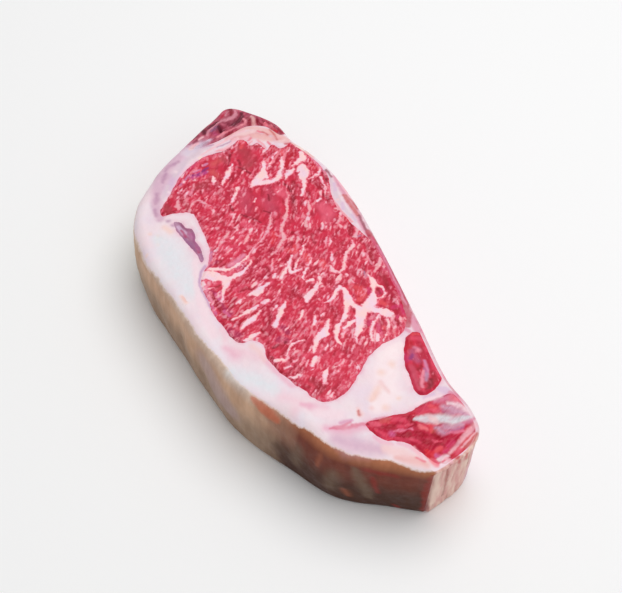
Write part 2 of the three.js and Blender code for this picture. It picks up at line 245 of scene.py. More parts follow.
TAIL_END_MARKS = [
    ("filmpink", 1.4, [(434, 401.5, 2), (442, 400, 3), (451, 398, 4), (457, 401, 4)]),
    ("pinkwhite", 1.2, [(416, 404, 1.2), (425, 400.5, 1.8), (434, 398, 1.8), (441, 396, 1.5)]),
    ("salmonrose", 1.6, [(452, 398, 2.5), (457, 400, 2.5)]),
    ("lilacfat", 1.4, [(443, 407.5, 2.5), (452, 409.5, 4), (461, 412, 4.5), (469, 417, 3.5)]),
    ("pinkwhite", 1.2,
     [(449, 403.5, 1.5), (456, 405, 2.2), (463, 407, 2.2), (470, 412, 2.5), (476, 419, 2.5)]),
    ("bluewhite", 0.9,
     [(414, 420.5, 0.8), (418, 419.5, 2.1), (424, 419.5, 2.9), (430, 418.5, 3.6), (438, 418.5, 4.2),
      (448, 419.5, 4.6), (458, 420, 3.8), (466, 419, 2.3), (471, 418, 1.2)]),
    ("creampink", 1.2, [(430, 417.5, 2), (435, 419.5, 2.5), (437, 422, 1.5)]),
    ("greyviolet", 1.3, [(449, 431.5, 1.2), (456, 430.3, 1.4), (463, 428, 1.2)]),
    ("lilacfat", 1.3,
     [(437, 427.5, 2), (440, 431, 3), (447, 433, 2.2)], [(444, 427, 2), (453, 427, 2.4), (462, 424.5, 2)]),
    ("filmpink", 1.3, [(464, 423.5, 1.5), (470, 421, 1.8), (474, 418, 1.2)]),
    ("rose", 0.8, [(447, 434, 0.8), (456, 432.5, 1), (464, 431, 1)]),
    ("crimson", 1, [(446, 439.5, 2), (454, 438, 2.2), (462, 435.5, 1.3), (468, 433, 0.7)]),
    ("magenta", 1, [(449, 446, 1.8), (453, 442, 1.6)]),
    ("paleline", 0.9,
     [(450, 452, 1.3), (455, 447.5, 1.6), (460, 442, 1.5), (465, 436, 1.7), (470, 430.5, 2.4),
      (475, 425, 2.4)]),
    ("coral", 0.9, [(459, 450, 1.8), (464, 445, 2.2), (469, 440.5, 2.2), (474, 434.5, 2)]),
    ("paleline", 0.6, [(460, 449, 0.6), (465, 444, 0.7), (470, 438.5, 0.7), (475, 432.5, 0.6)]),
    ("coralbrown", 0.7, [(466, 446.8, 1.2), (470, 444, 1.5), (474, 439.5, 1.4), (477, 433, 1)]),
    ("blood", 0.7, [(453, 456, 1.8), (457, 457, 2)]),
    ("rosered", 0.8, [(457, 452.5, 1.8), (460, 449.5, 1.6)]),
    ("hotred", 0.8, [(426, 451, 1.6), (430, 455.5, 3), (433, 453, 1.4)]),
    ("salmon", 0.8, [(431, 460.5, 2), (437, 464.5, 2.3)]),
    ("coralred", 0.8, [(436, 452, 1.6), (441, 449.5, 1.8)]),
    ("violetpink", 0.9, [(436, 455.5, 1.4), (440, 456.5, 1.6)]),
    ("pinkwhite", 0.9,
     [(438, 460, 1.3), (442, 458.5, 2), (447, 455, 1.6)], [(441, 465, 1.5), (446, 462, 2.4)]),
    ("rosered", 0.8, [(434, 459.5, 1.3), (438, 463.5, 1.3)], [(443, 461.5, 0.9), (447, 458, 0.9)]),
    ("magenta", 0.7, [(444, 452, 1.4), (448, 450, 1.3)]),
    ("paleline", 0.8,
     [(414, 447.5, 1.3), (418, 452.5, 1.7), (422, 457.5, 1.4)], [(446, 458, 1.6), (451, 462, 1.8)]),
    ("rosered", 1.4, [(416, 458.5, 0.8), (424, 461.5, 1.1)]),
]

# The two small muscles.
SIDE_MARKS = [
    ("blood", 0.8, [(409, 337, 2), (410, 343, 2.8), (408, 349, 2)]),
    ("coralred", 1, [(413, 334.5, 1.8), (418, 334.5, 1.4)]),
    ("hotpink", 1, [(412, 338.5, 1.8), (417, 338.5, 2), (421, 341, 1.8)]),
    ("magenta", 0.9, [(404.5, 354, 1.5), (406, 359, 2.3), (408, 362, 1.5)]),
    ("mauve", 1.3, [(412, 352, 2.6), (414, 358, 4), (418, 362, 2.6)]),
    ("purple", 1.3, [(411, 359, 1.6), (413, 356, 1.4)]),
    ("crimson", 1, [(418, 343, 2.2), (423, 351, 2.2), (422, 358, 2.6)]),
    ("filmpink", 1.1, [(414, 348.5, 1.4), (417, 350, 1.8)]),
    ("pinkglow", 1, [(418, 351.5, 2)]),
    ("hotpink", 1, [(425, 349, 1.8), (429, 356, 1.9), (433, 363, 2.6), (437, 370, 2.6), (439, 376, 1.5)]),
    ("crimson", 0.9, [(427, 354, 1.8), (428, 361, 1.8), (429, 368, 1.8), (431, 373, 1.3)]),
    ("smooth", 1.2, [(412, 368, 2.3), (414, 376, 3.2), (417, 384, 3), (419, 390, 1.8)]),
    ("deepest", 0.9, [(418, 370, 1.3), (421, 367, 1.3)]),
    ("brick", 1, [(420, 380, 1.1), (420, 386, 1)]),
    ("lilac", 0.9, [(424, 361, 1.1), (426, 366, 1.3), (427.5, 371, 1.2), (426, 376, 1.2)]),
    ("greyviolet", 0.9, [(424, 369, 1), (425.5, 373, 0.9)]),
    ("pinkglow", 0.9, [(423.5, 372, 1.1), (422.5, 378, 1.4), (422, 384, 1.4), (422.5, 388, 1.1)]),
    ("mauvegrey", 1, [(427, 375, 1.4), (426.5, 381, 1.6)]),
    ("deepest", 0.8, [(433, 374, 2.3), (434, 380, 2.8), (431, 385, 2.8)]),
    ("darkest", 0.8, [(431, 381, 1.8), (429.5, 386, 2), (427, 390, 1.5)]),
    ("crimson", 0.8, [(417, 393, 1.3), (423, 393.5, 1.5), (428, 391, 1.4)]),
]
SLIVER_MARKS = [
    ("lavender", 0.6, [(178, 226, 2), (184, 232, 2.5)]),
    ("maroonmauve", 0.8, [(184, 238, 2), (190, 244, 2.5), (196, 249, 2)]),
    ("mauve", 0.8, [(181, 229, 1.2), (186, 236, 1.2)], [(196, 246, 1), (202, 258, 1)]),
    ("greyviolet", 0.6, [(191, 233, 2), (195, 240, 2), (199, 248, 2)]),
    ("mauvegrey", 0.6, [(200, 254, 2), (204, 262, 1.5)]),
]

# The fat: upper left, cap, lower right, bone side, and the band between tip and eye muscle.
FAT_MARKS = [
    ("fat_glow", 1,
     [(390, 350, 8), (385, 370, 13), (388, 392, 12), (376, 408, 6)], [(392, 352, 8), (398, 345, 5)]),
    ("lilacfat", 0.9,
     [(178, 157, 7), (168, 168, 7), (160, 180, 7), (157, 192, 6), (156, 206, 5), (160, 219, 4)],
     [(172, 178, 5), (167, 188, 4)]),
    ("lavender", 1, [(186, 159, 3), (180, 169, 3), (172, 183, 4), (165, 194, 3)]),
    ("greywhite", 1.2,
     [(199, 152, 3), (190, 157, 3), (182, 165, 3), (175, 176, 2.5)], [(168, 186, 2), (163, 198, 2)]),
    ("pinkwhite", 1.2, [(176, 172, 1.6)], [(168, 192, 1.6)], [(188, 151, 1.6)]),
    ("mauvegrey", 1.4, [(178, 162, 1.6)], [(175, 163.5, 1.5), (169, 166.5, 2), (165, 171, 1.2)],
     [(163, 182, 1.6), (164.5, 178, 2.5), (166, 174, 1.8)],
     [(157, 194, 1.8), (157, 200, 2.3), (156, 204, 1.5)], [(155, 210, 1.5), (156.5, 216, 1.5)],
     [(168, 221, 2)], [(173, 225, 2)]),
    ("peach", 1.7, [(165, 228, 3), (171, 232, 3)], [(150, 234, 1.5)], [(158, 236, 1.2), (158, 245, 1.3)],
     [(147, 254, 1.5)]),
    ("paleline", 0.4, [(189, 169, 0.9), (183, 175, 1), (178, 183, 1), (173, 190, 1)]),
    ("bluewhite", 1.5, [(168, 250, 12), (178, 270, 13), (190, 290, 9)], [(158, 240, 6)]),
    ("pinkwhite", 0.8, [(195, 262, 3), (196, 280, 3), (200, 300, 4), (206, 318, 4), (214, 335, 4)]),
    ("seamlilac", 0.7,
     [(205, 266, 1.3), (201.5, 271, 1.3), (199.5, 278, 1.1), (199.8, 286, 1.1), (203, 293, 1.1),
      (207.5, 301.5, 1), (212, 311, 0.8)]),
    ("coralbrown", 0.6, [(182, 297, 0.8), (184, 300, 1.2), (186, 302, 0.8)]),
    ("peach", 1.2, [(181, 296, 1.6), (186, 303, 1.6)]),
    ("pinkfat", 1.8, [(236, 350, 4), (248, 353, 6), (259, 358, 5)], [(222, 330, 2), (226, 340, 2)]),
    ("wisp", 1.8, [(226, 348, 4), (236, 356, 5)], [(263, 358, 2), (276, 372, 2), (292, 386, 2)]),
    ("bluewhite", 1.6, [(232, 371, 5), (248, 378, 8), (266, 385, 7), (276, 392, 4)]),
    ("pinkfat", 1.8, [(283, 397, 5), (298, 401, 5), (312, 408, 4)], [(295, 410, 4)]),
    ("blush", 1.6, [(302, 404, 2), (314, 407, 3), (326, 409, 2.5)]),
    ("pinkwhite", 1, [(320, 412, 6), (340, 415, 5)]),
    ("creampink", 1.5, [(252, 346, 3), (260, 352, 3), (264, 360, 2)]),
    ("blush", 1.5, [(326, 428, 3), (336, 430, 4.5), (348, 430, 5), (360, 428, 4), (373, 424.5, 2.5)]),
    ("wispred", 1, [(334, 427.5, 1.2), (345, 427.5, 1.6), (356, 427, 1.4)]),
    ("lilacfat", 1.4, [(336, 439, 5), (350, 444, 8), (366, 447, 8), (382, 450, 5)]),
    ("wispred", 0.6, [(330, 428.5, 0.8), (337, 427.5, 1.5), (344, 424.5, 1.4), (350, 422, 1)]),
    ("lilac", 1.6, [(340, 422.5, 0.8), (346, 420.8, 1.3), (352, 420, 1)]),
    ("wispred", 0.7,
     [(352, 425, 1.2), (360, 425, 1.5), (368, 424, 1.5), (376, 420, 1.3), (388, 417.5, 0.8)]),
    ("wisp", 1.6, [(374, 437, 1.2), (382, 442.5, 1.6), (392, 444.5, 1.2)],
     [(398, 443, 1), (410, 446.5, 1.6), (420, 452, 1.6)]),
    ("creampink", 0.8, [(358, 409, 1.6), (360, 414, 3)]),
    ("terracotta", 0.8, [(358.5, 411, 1), (359.5, 414.5, 1.3)]),
    ("creampink", 1,
     [(386, 449, 4), (402, 453, 6), (416, 460, 5), (428, 466, 3)], [(372, 400, 2), (376, 393, 2)]),
    ("peach", 1.8,
     [(373, 398, 3), (378, 388, 3)], [(386, 408, 3)], [(399, 398, 2)], [(381, 373, 3)], [(392, 364, 3)]),
    ("creampink", 1.6, [(380, 382, 2), (388, 392, 1.5)], [(371, 408, 2)]),
    ("pinkwhite", 0.8, [(376, 352, 2), (389, 344, 2), (399, 338, 2)], [(404, 372, 2), (408, 384, 2)]),
    ("creamband", 1.5, [(396, 458, 2), (406, 459.5, 3.5), (416, 461.5, 3.5), (426, 465, 2.5)]),
    ("rose", 0.6, [(424, 330, 2), (433, 345, 2.5), (441, 362, 2.5), (446, 376, 2)]),
    ("filmpink", 0.7, [(409, 314, 2), (413, 322, 3.5), (418, 330, 3)], [(405, 329, 1.5), (409, 332, 1.5)]),
    ("lavender", 0.8, [(440, 388, 2.5), (446, 391, 3)], [(434, 394, 1.5), (424, 398, 1.2)]),
    ("filmpink", 0.6, [(450, 393, 2), (456, 396, 2.5)]),
    ("filmpink", 0.9,
     [(334, 176, 2), (341, 187, 3), (348, 199, 3), (355, 211, 3), (362, 224, 2.5), (370, 238, 2),
      (380, 258, 1.5)]),
    ("greywhite", 0.7,
     [(330, 178, 1.2), (333, 186, 1.8), (336, 195, 2.2), (341, 203, 2.2), (347, 211, 2.2),
      (352, 217.5, 1.8), (356, 222, 1)]),
    ("lavender", 0.6, [(334, 183, 1.2), (335, 190, 1.5)], [(343, 203, 1.5), (343, 208, 1.5)],
     [(352, 215, 1.2), (355, 220, 1)]),
    ("creampink", 0.6, [(338, 199, 1.5)], [(340, 196, 1.2)]),
    ("pinkline", 0.5,
     [(319, 175, 0.6), (324, 183, 1), (328.5, 191, 1), (332.5, 199.5, 1), (338, 207, 1), (345, 215, 1),
      (352, 222, 0.8)]),
    ("paleline", 0.5, [(335, 175, 1), (341, 184, 1.3), (347, 193, 1.2), (352, 201, 1)]),
    ("terracotta", 0.4,
     [(343.5, 195, 1), (347, 199.5, 1.4), (351, 205, 1.4), (355, 211, 1.6), (358, 215.5, 1.2)]),
    ("coralbrown", 0.4, [(346, 195, 0.8), (352, 201, 0.8), (357, 209, 0.8)]),
    ("maroon", 0.5, [(359, 216, 1), (364, 225, 1.2), (369, 236, 1)], [(326, 170, 1.2), (331, 177, 0.8)]),
    ("crimson", 0.4, [(368, 232, 2.5), (377, 248, 3.5), (386, 264, 3.5), (395, 282, 3.5), (403, 300, 3.5),
      (408, 314, 3), (408, 326, 2)]),
    ("magenta", 0.5, [(372, 238, 1), (382, 258, 1.2), (391, 276, 1.2), (400, 296, 1.2)]),
    ("filmpink", 0.5, [(378, 246, 0.8), (388, 266, 0.8), (398, 286, 0.8), (406, 304, 0.8)]),
    ("bandrose", 1.2,
     [(232, 139, 2), (243, 136, 5), (256, 134, 6), (268, 135, 6), (278, 138, 5), (285, 141, 3)]),
    ("creamband", 1, [(226, 139, 1.5), (236, 131, 2), (248, 128, 2.2), (258, 128, 2.4), (268, 131, 2.4),
      (278, 135, 2.4), (288, 140, 2)],
     [(255, 136, 3), (263, 138, 3.5), (270, 139, 3)], [(298, 150, 2), (306, 154, 2)],
     [(291, 143, 1), (299, 147, 1.5)]),
    ("creampink", 1.2,
     [(238, 134.5, 2), (246, 133.5, 2.3), (254, 131.5, 1.8)], [(280, 141, 2), (285, 140, 2)],
     [(238, 138, 1.3)]),
    ("greywhite", 1.2,
     [(193, 156, 3), (201, 149, 3.2), (210, 147.5, 2)], [(262, 133, 1.3)], [(271, 136, 1.2)]),
    ("mauvegrey", 0.9, [(201, 147.5, 0.8), (207, 146.3, 0.9), (213, 145, 0.8)],
     [(217, 147.3, 0.8), (224, 144.3, 0.8), (231, 141, 0.7)]),
    ("paleline", 0.7,
     [(201, 155, 0.9), (208, 150.5, 1.1), (215, 147, 1.1), (222, 142.5, 1.2), (229, 138.5, 1.1),
      (234, 134.5, 1.1), (239, 131.8, 1.1), (244, 131, 0.9)],
     [(218, 149.8, 1), (224, 148.3, 1), (229, 145.3, 0.9), (232, 142, 1), (235, 138.3, 1),
      (240, 140, 1), (245, 138.5, 1.3), (249, 136.5, 1.2)]),
    ("pinkline", 0.7, [(216, 150.8, 0.7), (224, 149.8, 0.7), (230, 146.7, 0.6)],
     [(258, 140, 0.8), (263, 144, 0.9), (265, 148, 0.7)], [(252, 141, 0.8), (249, 144, 0.8)]),
    ("rosered", 0.8, [(251, 138, 1), (248.5, 140.5, 0.9)], [(268, 142, 0.9), (270, 144, 1)],
     [(258, 130.5, 0.8), (264, 132.5, 0.9)]),
    ("terracotta", 1,
     [(262, 131, 0.6), (268, 134.5, 0.7)], [(270, 130, 0.7), (275, 135, 0.8), (277, 139.5, 0.7)]),
    ("blood", 0.5, [(285, 144, 1.2), (290, 143, 1.2)]),
    ("cream", 0.6, [(297, 146, 1), (303, 150, 1.2)], [(200, 158, 2)]),
    ("creamband", 0.7, [(306, 152, 1.8), (313, 157, 1)]),
]

# The eye muscle.
EYE_MARKS = [
    ("brick", 1.5, [(236, 146, 4), (246, 153, 7), (250, 163, 6), (244, 168, 3)]),
    ("coralred", 0.9, [(238, 142.5, 1.5), (244, 142.5, 1.5), (241, 148, 1.3)]),
    ("darkest", 0.7,
     [(210, 154, 1), (217, 152.3, 1.4), (223, 151.3, 1.5), (229, 149, 1.4), (232, 146.3, 1.1),
      (235, 142.5, 1)],
     [(229.5, 155, 1), (229, 161, 1), (228, 166, 0.7)], [(232, 153, 1.2)]),
    ("darkred", 0.7,
     [(238, 161, 1.2), (241, 165, 1.1)], [(238, 167, 1), (244, 169.5, 1.2), (250, 173.5, 1)],
     [(251, 146, 1.5), (256, 144.3, 1.8), (259, 147, 1.3)], [(265, 151, 1.2), (265, 158, 1.3)],
     [(270, 146, 1.4), (276, 147.5, 1.5)]),
    ("blood", 0.5, [(232, 152, 1.3)], [(258, 146, 1.8)], [(265, 155, 1.6), (267, 158, 1.2)],
     [(272, 147, 2.6), (277, 152, 3), (283, 156, 2.5), (285, 151, 2.2)], [(276, 158, 2), (272, 163, 2)]),
    ("coralred", 0.6, [(279, 152, 1.8), (282, 154, 2)], [(283, 151, 1)]),
    ("blood", 0.5, [(288, 147, 1.6), (292, 150, 2.6), (294, 155, 3), (290, 160, 2.6), (286, 167, 2)],
     [(286, 164, 1.5), (284, 170, 1)]),
    ("pinkline", 0.4, [(287.5, 148, 0.8), (285.5, 154, 1), (283.5, 161, 1)],
     [(280, 150, 0.8), (276, 157, 1), (271, 164, 1)]),
    ("blood", 0.4, [(308, 160.5, 1.2), (311, 164, 2.2), (315, 168, 2.8), (317, 172, 1.4)]),
    ("coralred", 0.5, [(313, 168, 1.8)]),
    ("darkred", 0.5, [(323, 171, 1.3), (325.5, 176, 1.6), (327, 181, 1.2)]),
    ("filmpink", 0.7, [(312, 159, 1), (320, 167, 1.2), (327, 175, 1.2)]),
    ("deepest", 0.5,
     [(311, 181, 1.5), (316, 183, 3.2), (320, 188, 2.6), (322, 184, 1.8)], [(309, 183, 1)]),
    ("darkest", 0.4, [(324, 195, 0.8), (329, 199.5, 1)]),
    ("deepest", 0.6,
     [(293, 182, 1.8), (292.5, 190, 2.2), (293, 201, 2.6), (295, 210, 2.2), (293, 217, 1.5)]),
    ("darkest", 0.4,
     [(293, 196, 1.2), (293.5, 203, 1.2)], [(284, 184, 0.8), (288, 187, 0.9), (291, 192, 0.9)]),
    ("deepest", 0.6, [(297, 186, 1.2), (301, 190, 1)], [(308, 193, 1.5), (309, 199, 1.5)]),
    ("coral", 1.8, [(214, 164, 3.5), (221, 160, 3.5)], [(213, 172, 3), (218, 177, 3)]),
    ("brick", 1.5, [(196, 188, 4), (204, 186, 5), (210, 180, 3)], [(222, 158, 3), (226, 163, 2)]),
    ("brick", 0.7, [(164, 206, 3), (168, 210, 4)], [(185, 203, 3), (188, 208, 3)]),
    ("deepest", 0.5,
     [(163, 214, 1.3), (170, 213, 1.3), (176, 211.5, 1)], [(186, 211, 1.5)], [(201, 192, 1.5)]),
    ("magenta", 0.6, [(196, 163, 1.8), (189, 169, 2), (183, 175, 1.5), (177, 184, 1.2), (172, 192, 1)]),
    ("hotpink", 0.6, [(205, 158, 2), (198, 165, 1.8)]),
    ("violet", 0.8, [(191, 178, 2.4), (198, 175.5, 3), (205, 172.5, 2.4)]),
    ("purple", 0.4,
     [(192, 176, 1), (199, 175, 1.3), (202, 172, 1.2), (206, 169, 1.5), (208, 168, 1)], [(193, 180, 0.8)]),
    ("lilac", 0.4,
     [(203, 166, 1), (207, 164, 1.3)], [(194, 172.5, 0.8), (199, 170, 0.8)], [(208, 172, 0.8)],
     [(189, 176, 0.8), (185, 181, 0.9), (180, 186, 0.8)]),
    ("pinkglow", 0.5, [(193, 190, 1.3), (190, 196, 1)], [(186, 196, 1.3), (189, 193, 1)]),
    ("smooth", 1.5,
     [(243, 193, 6), (245, 203, 7), (247, 212, 4)], [(268, 200, 7), (272, 210, 6), (268, 190, 4)],
     [(322, 208, 5), (329, 216, 6)]),
    ("rosered", 0.7, [(279, 190, 5), (285, 195, 4), (287, 201, 2)]),
    ("darkred", 0.4, [(241, 215, 0.9), (247, 218, 1.1), (254, 220, 1), (261, 222.5, 0.8)],
     [(269, 201, 0.9), (268, 195, 0.7)], [(264, 211, 0.8), (271, 213.5, 0.9)],
     [(230, 205, 1), (233, 211, 1.2)]),
    ("hotpink", 0.7, [(244, 224, 4), (250, 228, 4)]),
    ("hotred", 0.7, [(273, 233, 2.2), (275, 238, 2.8), (272, 243, 2)]),
    ("hotpink", 0.7, [(222, 247, 3), (230, 250, 4), (236, 247, 3)]),
    ("rosered", 0.8, [(322, 206, 5), (328, 214, 6), (326, 222, 4)]),
    ("crimson", 0.7, [(340, 211, 4), (348, 218, 4), (350, 226, 3)], [(333, 200, 3)]),
    ("hotred", 0.6, [(345, 218, 1.6), (349, 222, 1.3)], [(337, 217, 1.2)]),
    ("deepest", 0.6,
     [(351, 226, 2.5), (350, 234, 2), (354, 238, 1.3)], [(312, 235, 1.5), (314, 243, 1.5)],
     [(292, 233, 1.6)]),
    ("coralred", 0.7, [(287, 250, 2.5), (295, 253, 2), (296, 246, 2)], [(305, 256, 3), (309, 262, 3)],
     [(322, 262, 3), (324, 268, 3)]),
    ("crimson", 0.8, [(247, 268, 5), (258, 268, 5), (267, 270, 4), (266, 278, 4), (252, 279, 5)]),
    ("deepest", 0.5, [(267, 268, 1.3), (269, 273, 1.2), (268, 277, 1)], [(232, 277, 1.2), (240, 273, 1)]),
    ("plumred", 0.7, [(212, 292, 2.5), (217, 300, 3), (222, 308, 3), (230, 313, 3)], [(222, 292, 2)]),
    ("deepest", 0.5, [(211, 294, 1.8), (216, 302, 1.8), (221, 310, 2), (226, 318, 2), (233, 321, 1.6)],
     [(231, 306, 1.8), (236, 300, 1.5)],
     [(240, 292, 1.3), (246, 288, 1.3), (252, 289.5, 1.2), (258, 286, 1)]),
    ("violetpink", 0.5,
     [(217, 294, 1.3), (219, 300, 1)], [(225, 312, 1.6), (229, 316, 1.3)], [(212, 306, 1), (216, 314, 1)]),
    ("hotpink", 0.6, [(236, 290, 2.5), (243, 286, 2)], [(258, 300, 3), (266, 303, 3)], [(238, 304, 3)]),
    ("blood", 0.6,
     [(240, 305, 3), (250, 304, 3), (256, 303, 2)], [(243, 321, 2), (248, 317, 2.3), (253, 313, 1.6)]),
    ("crimson", 0.8, [(265, 312, 4), (272, 306, 4), (268, 322, 4), (272, 332, 4), (266, 334, 3)]),
    ("deepest", 0.5, [(271, 315, 1.3), (269, 324, 1.3)], [(262, 330, 1.2), (268, 335, 1)]),
    ("plumred", 0.7, [(231, 332, 4), (238, 336, 4)], [(280, 340, 4), (287, 341, 3)]),
    ("darkest", 0.5,
     [(230, 337, 1.2), (236, 341, 1.5), (241, 342.5, 1)], [(274, 348, 1.6), (278, 346, 1.2)],
     [(286, 343, 1.6)], [(272, 358, 1), (275, 364, 1)]),
    ("deepest", 0.6,
     [(268, 352, 1.2), (271, 362, 1.5), (278, 371, 1.8), (287, 378, 1.6), (296, 384, 1.5)],
     [(300, 370, 2.5), (296, 378, 2)], [(312, 380, 3), (322, 388, 3), (316, 394, 2.5)], [(309, 388, 2)]),
    ("hotpink", 0.6, [(318, 398, 1.5), (325, 400, 1.5), (333, 397, 1.5)]),
    ("plumred", 0.7, [(283, 328, 3), (288, 333, 2.5)]),
    ("crimson", 0.9,
     [(366, 238, 3), (373, 250, 4.5), (380, 268, 5), (388, 283, 5), (394, 298, 5), (398, 312, 5),
      (397, 324, 4)]),
    ("deepest", 0.6,
     [(367, 246, 1.8), (372, 256, 2.2), (371, 264, 2)], [(380, 274, 2), (386, 282, 2), (388, 289, 1.6)],
     [(391, 298, 1.6), (395, 303, 1.3)], [(394, 321, 1.8), (400, 325, 1.6)], [(362, 241, 1.6)]),
    ("magenta", 0.6, [(393, 308, 2), (401, 306, 1.6), (404, 314, 1.8)], [(385, 270, 2)], [(398, 318, 2)]),
    ("pinkglow", 0.5,
     [(366, 254, 0.8), (369, 259, 0.8), (372, 264, 0.8)], [(392, 275, 1)], [(397, 303, 1.2)],
     [(391, 318, 1), (394, 324, 0.9)]),
    ("greymauve", 0.6, [(357, 237, 1.3), (360, 236, 1)], [(366, 277, 1.2), (364, 273, 1)]),
    ("coralred", 0.8, [(352, 287, 3), (358, 289, 4.5), (362, 296, 4), (360, 301, 3)]),
    ("blood", 0.6,
     [(354, 290, 2), (351, 287, 1.5)], [(359, 297, 1.5)], [(357, 303, 1.3), (364, 304, 1.2)]),
    ("coralred", 0.7, [(381, 303, 2.5), (386, 305, 1.8)]),
    ("magenta", 0.6, [(381, 291, 2), (379, 294, 1.8)], [(368, 289, 2), (369, 294, 1.5)]),
    ("deepest", 0.6,
     [(378, 289, 1), (380, 294, 1)], [(351, 307, 1.6), (354, 312, 1)], [(368, 322, 1.6), (366, 327, 1.3)],
     [(381, 322, 2), (382, 330, 2)], [(374, 318, 1)]),
    ("magenta", 0.6, [(373, 317, 2), (369, 324, 2.3)], [(378, 325, 2), (381, 334, 2)]),
    ("coralred", 0.6, [(342, 329, 2), (344, 334, 1.6)], [(384, 328, 1.8)], [(321, 323, 1.8)]),
    ("pinkhaze", 1,
     [(209, 250, 2), (209, 258, 2.5), (207, 266, 2)], [(205, 288, 2), (208, 294, 2), (212, 303, 1.5)],
     [(229, 266, 2), (236, 262, 3), (244, 256, 2)]),
    ("lilac", 0.8, [(211, 253, 1.5), (210, 260, 1.5)], [(222, 293, 1.5), (223, 299, 1.2)]),
    ("plumred", 0.5,
     [(209, 267, 0.9), (213, 265, 1.1), (217, 262, 1.1)], [(218, 267.5, 0.8), (222, 268, 0.8)],
     [(223, 299, 1), (222, 304, 1)]),
    ("magenta", 0.5, [(236, 270, 1.2), (240, 269, 1.5)], [(239, 266, 1)]),
    ("plum", 0.5, [(235, 269, 0.8), (239, 266, 0.8)], [(242, 268, 0.9), (245, 264, 0.9)]),
    ("deepest", 0.5, [(229, 277, 0.7), (235, 274, 1), (242, 272.5, 1)], [(216, 288, 1), (220, 285, 1)],
     [(209, 293, 1.5), (213, 298, 1)]),
    ("rosered", 0.5, [(226, 274.5, 1.5), (231, 274, 1.8), (235, 272.5, 1)]),
    ("hotpink", 0.5, [(209, 285.5, 1.2), (215, 285, 2), (220, 283, 1.5)]),
]

MARKS = dict(
    tip=TIP_MARKS + TIP_END_MARKS, tail=TAIL_MARKS + TAIL_END_MARKS, side=SIDE_MARKS,
    sliver=SLIVER_MARKS, eye=EYE_MARKS, fat=FAT_MARKS + TIP_END_MARKS + TAIL_END_MARKS,
)

# Marks on the cap's outer wall, by (x, z, half width), and on the tail's end, by (y, z, half width).
WALL_MARKS = [
    ("wall_mauve", 0.9, [(18, 26, 7), (30, 22, 8), (38, 18, 6)]),
    ("wall_red", 0.6, [(50, 37, 1.5), (56, 35, 2.2), (62, 33, 1.6)]),
    ("wall_ash", 2, [(90, 24, 2), (88, 10, 2)], [(74, 26, 2.6), (72, 12, 2.6)]),
    ("wall_ash", 1.2, [(95.5, 31, 1), (97, 24, 1.7), (98.5, 14, 1.7), (99, 8, 1)]),
    ("wall_rust", 1.8, [(84, 32, 1), (83.5, 24, 0.8)], [(93, 12, 1.2), (93.5, 7, 0.8)]),
    ("wall_maroon", 1.6, [(98.5, 32, 1.2), (102, 31.5, 1.5), (106, 31, 1)]),
    ("wall_maroon", 1.6, [(100.5, 27, 0.7), (101.5, 15, 0.7)]),
    ("wall_maroon", 1, [(105.5, 5, 0.9), (105.7, 2, 0.7)]),
    ("wall_tan", 0.8, [(-82, 31, 2)], [(-78, 30, 1.6)]),
    ("wall_maroon", 0.8, [(114.3, 35, 0.6), (113.6, 22, 0.9), (112.6, 1, 1)]),
]
END_MARKS = [
    ("end_cream", 0.8, [(14, 34, 1.6), (15, 22, 2.2), (15, 8, 1.8)]),
    ("end_red", 0.5, [(26, 35, 0.8), (27, 30, 0.6)], [(30, 35, 1), (31, 29, 0.7)]),
    ("end_dark", 0.6, [(20, 33, 0.6), (21, 20, 0.7), (21, 8, 0.5)], [(33, 30, 0.7), (34, 18, 0.6)]),
]

# Parts of the eye muscle where few flecks show, as (across, down, radius), and how plain
# each whole muscle is.
BARE = [
    (245, 158, 15), (262, 202, 19), (279, 206, 12), (214, 166, 14), (168, 210, 10), (328, 213, 12),
    (388, 285, 12), (398, 312, 12),
]
PLAIN = dict(eye=0, side=0.7, tail=1, tip=1, sliver=1)

# The way the fibres run, as (across, down, degrees turned in the view).
GRAIN = dict(
    eye=[
        (226, 177, 68), (236, 194, 75), (261, 173, 55), (289, 210, 84), (257, 241, 48), (221, 240, 52),
        (209, 227, 42), (307, 213, 77), (303, 177, 98), (298, 262, 65), (347, 260, 72), (310, 295, 52),
        (258, 290, 36), (250, 315, 34), (280, 313, 64), (322, 337, 62), (340, 323, 70), (315, 362, 62),
        (290, 370, 48), (378, 267, 62), (387, 323, 105),
    ],
    tail=[
        (385, 428, 12), (410, 437, -8), (430, 445, -10), (425, 409, 25), (445, 405, 20), (440, 420, -2),
        (450, 430, 5), (462, 445, 42), (468, 430, 48), (455, 452, 48), (435, 455, -35),
    ],
    tip=[
        (205, 132, 45), (225, 125, 30), (240, 122, 40), (262, 123, -35), (278, 131, -40), (232, 112, 60),
    ],
    side=[(410, 345, -80), (418, 365, -68), (430, 380, -62), (425, 345, -62)],
    sliver=[(190, 244, -52)],
)

# Fibres of the lean and the strands they lie in: width, length and seed.
FIBRE, STRAND = (0.85, 2.4, 101), (1.4, 4, 107)

# Streaks of fat between the fibres: width, length, how rare they are, how much they crowd together,
# how soft their edge is, how rich they are, and a seed.
STREAKS = [(1.0, 3.2, 1.68, 0.9, 0.5, 0.9, 121), (0.8, 1.8, 1.35, 0.6, 0.45, 0.55, 131)]

# Flecks strewn over the eye muscle: half length and half width in metres, least and most richness.
FAINT_FLECKS, BRIGHT_FLECKS = (0.0011, 0.00046, 0.1, 0.6), (0.0016, 0.00058, 0.4, 1.0)
FLECK_TURN = 0.3  # how far a fleck may lie off the grain, in radians

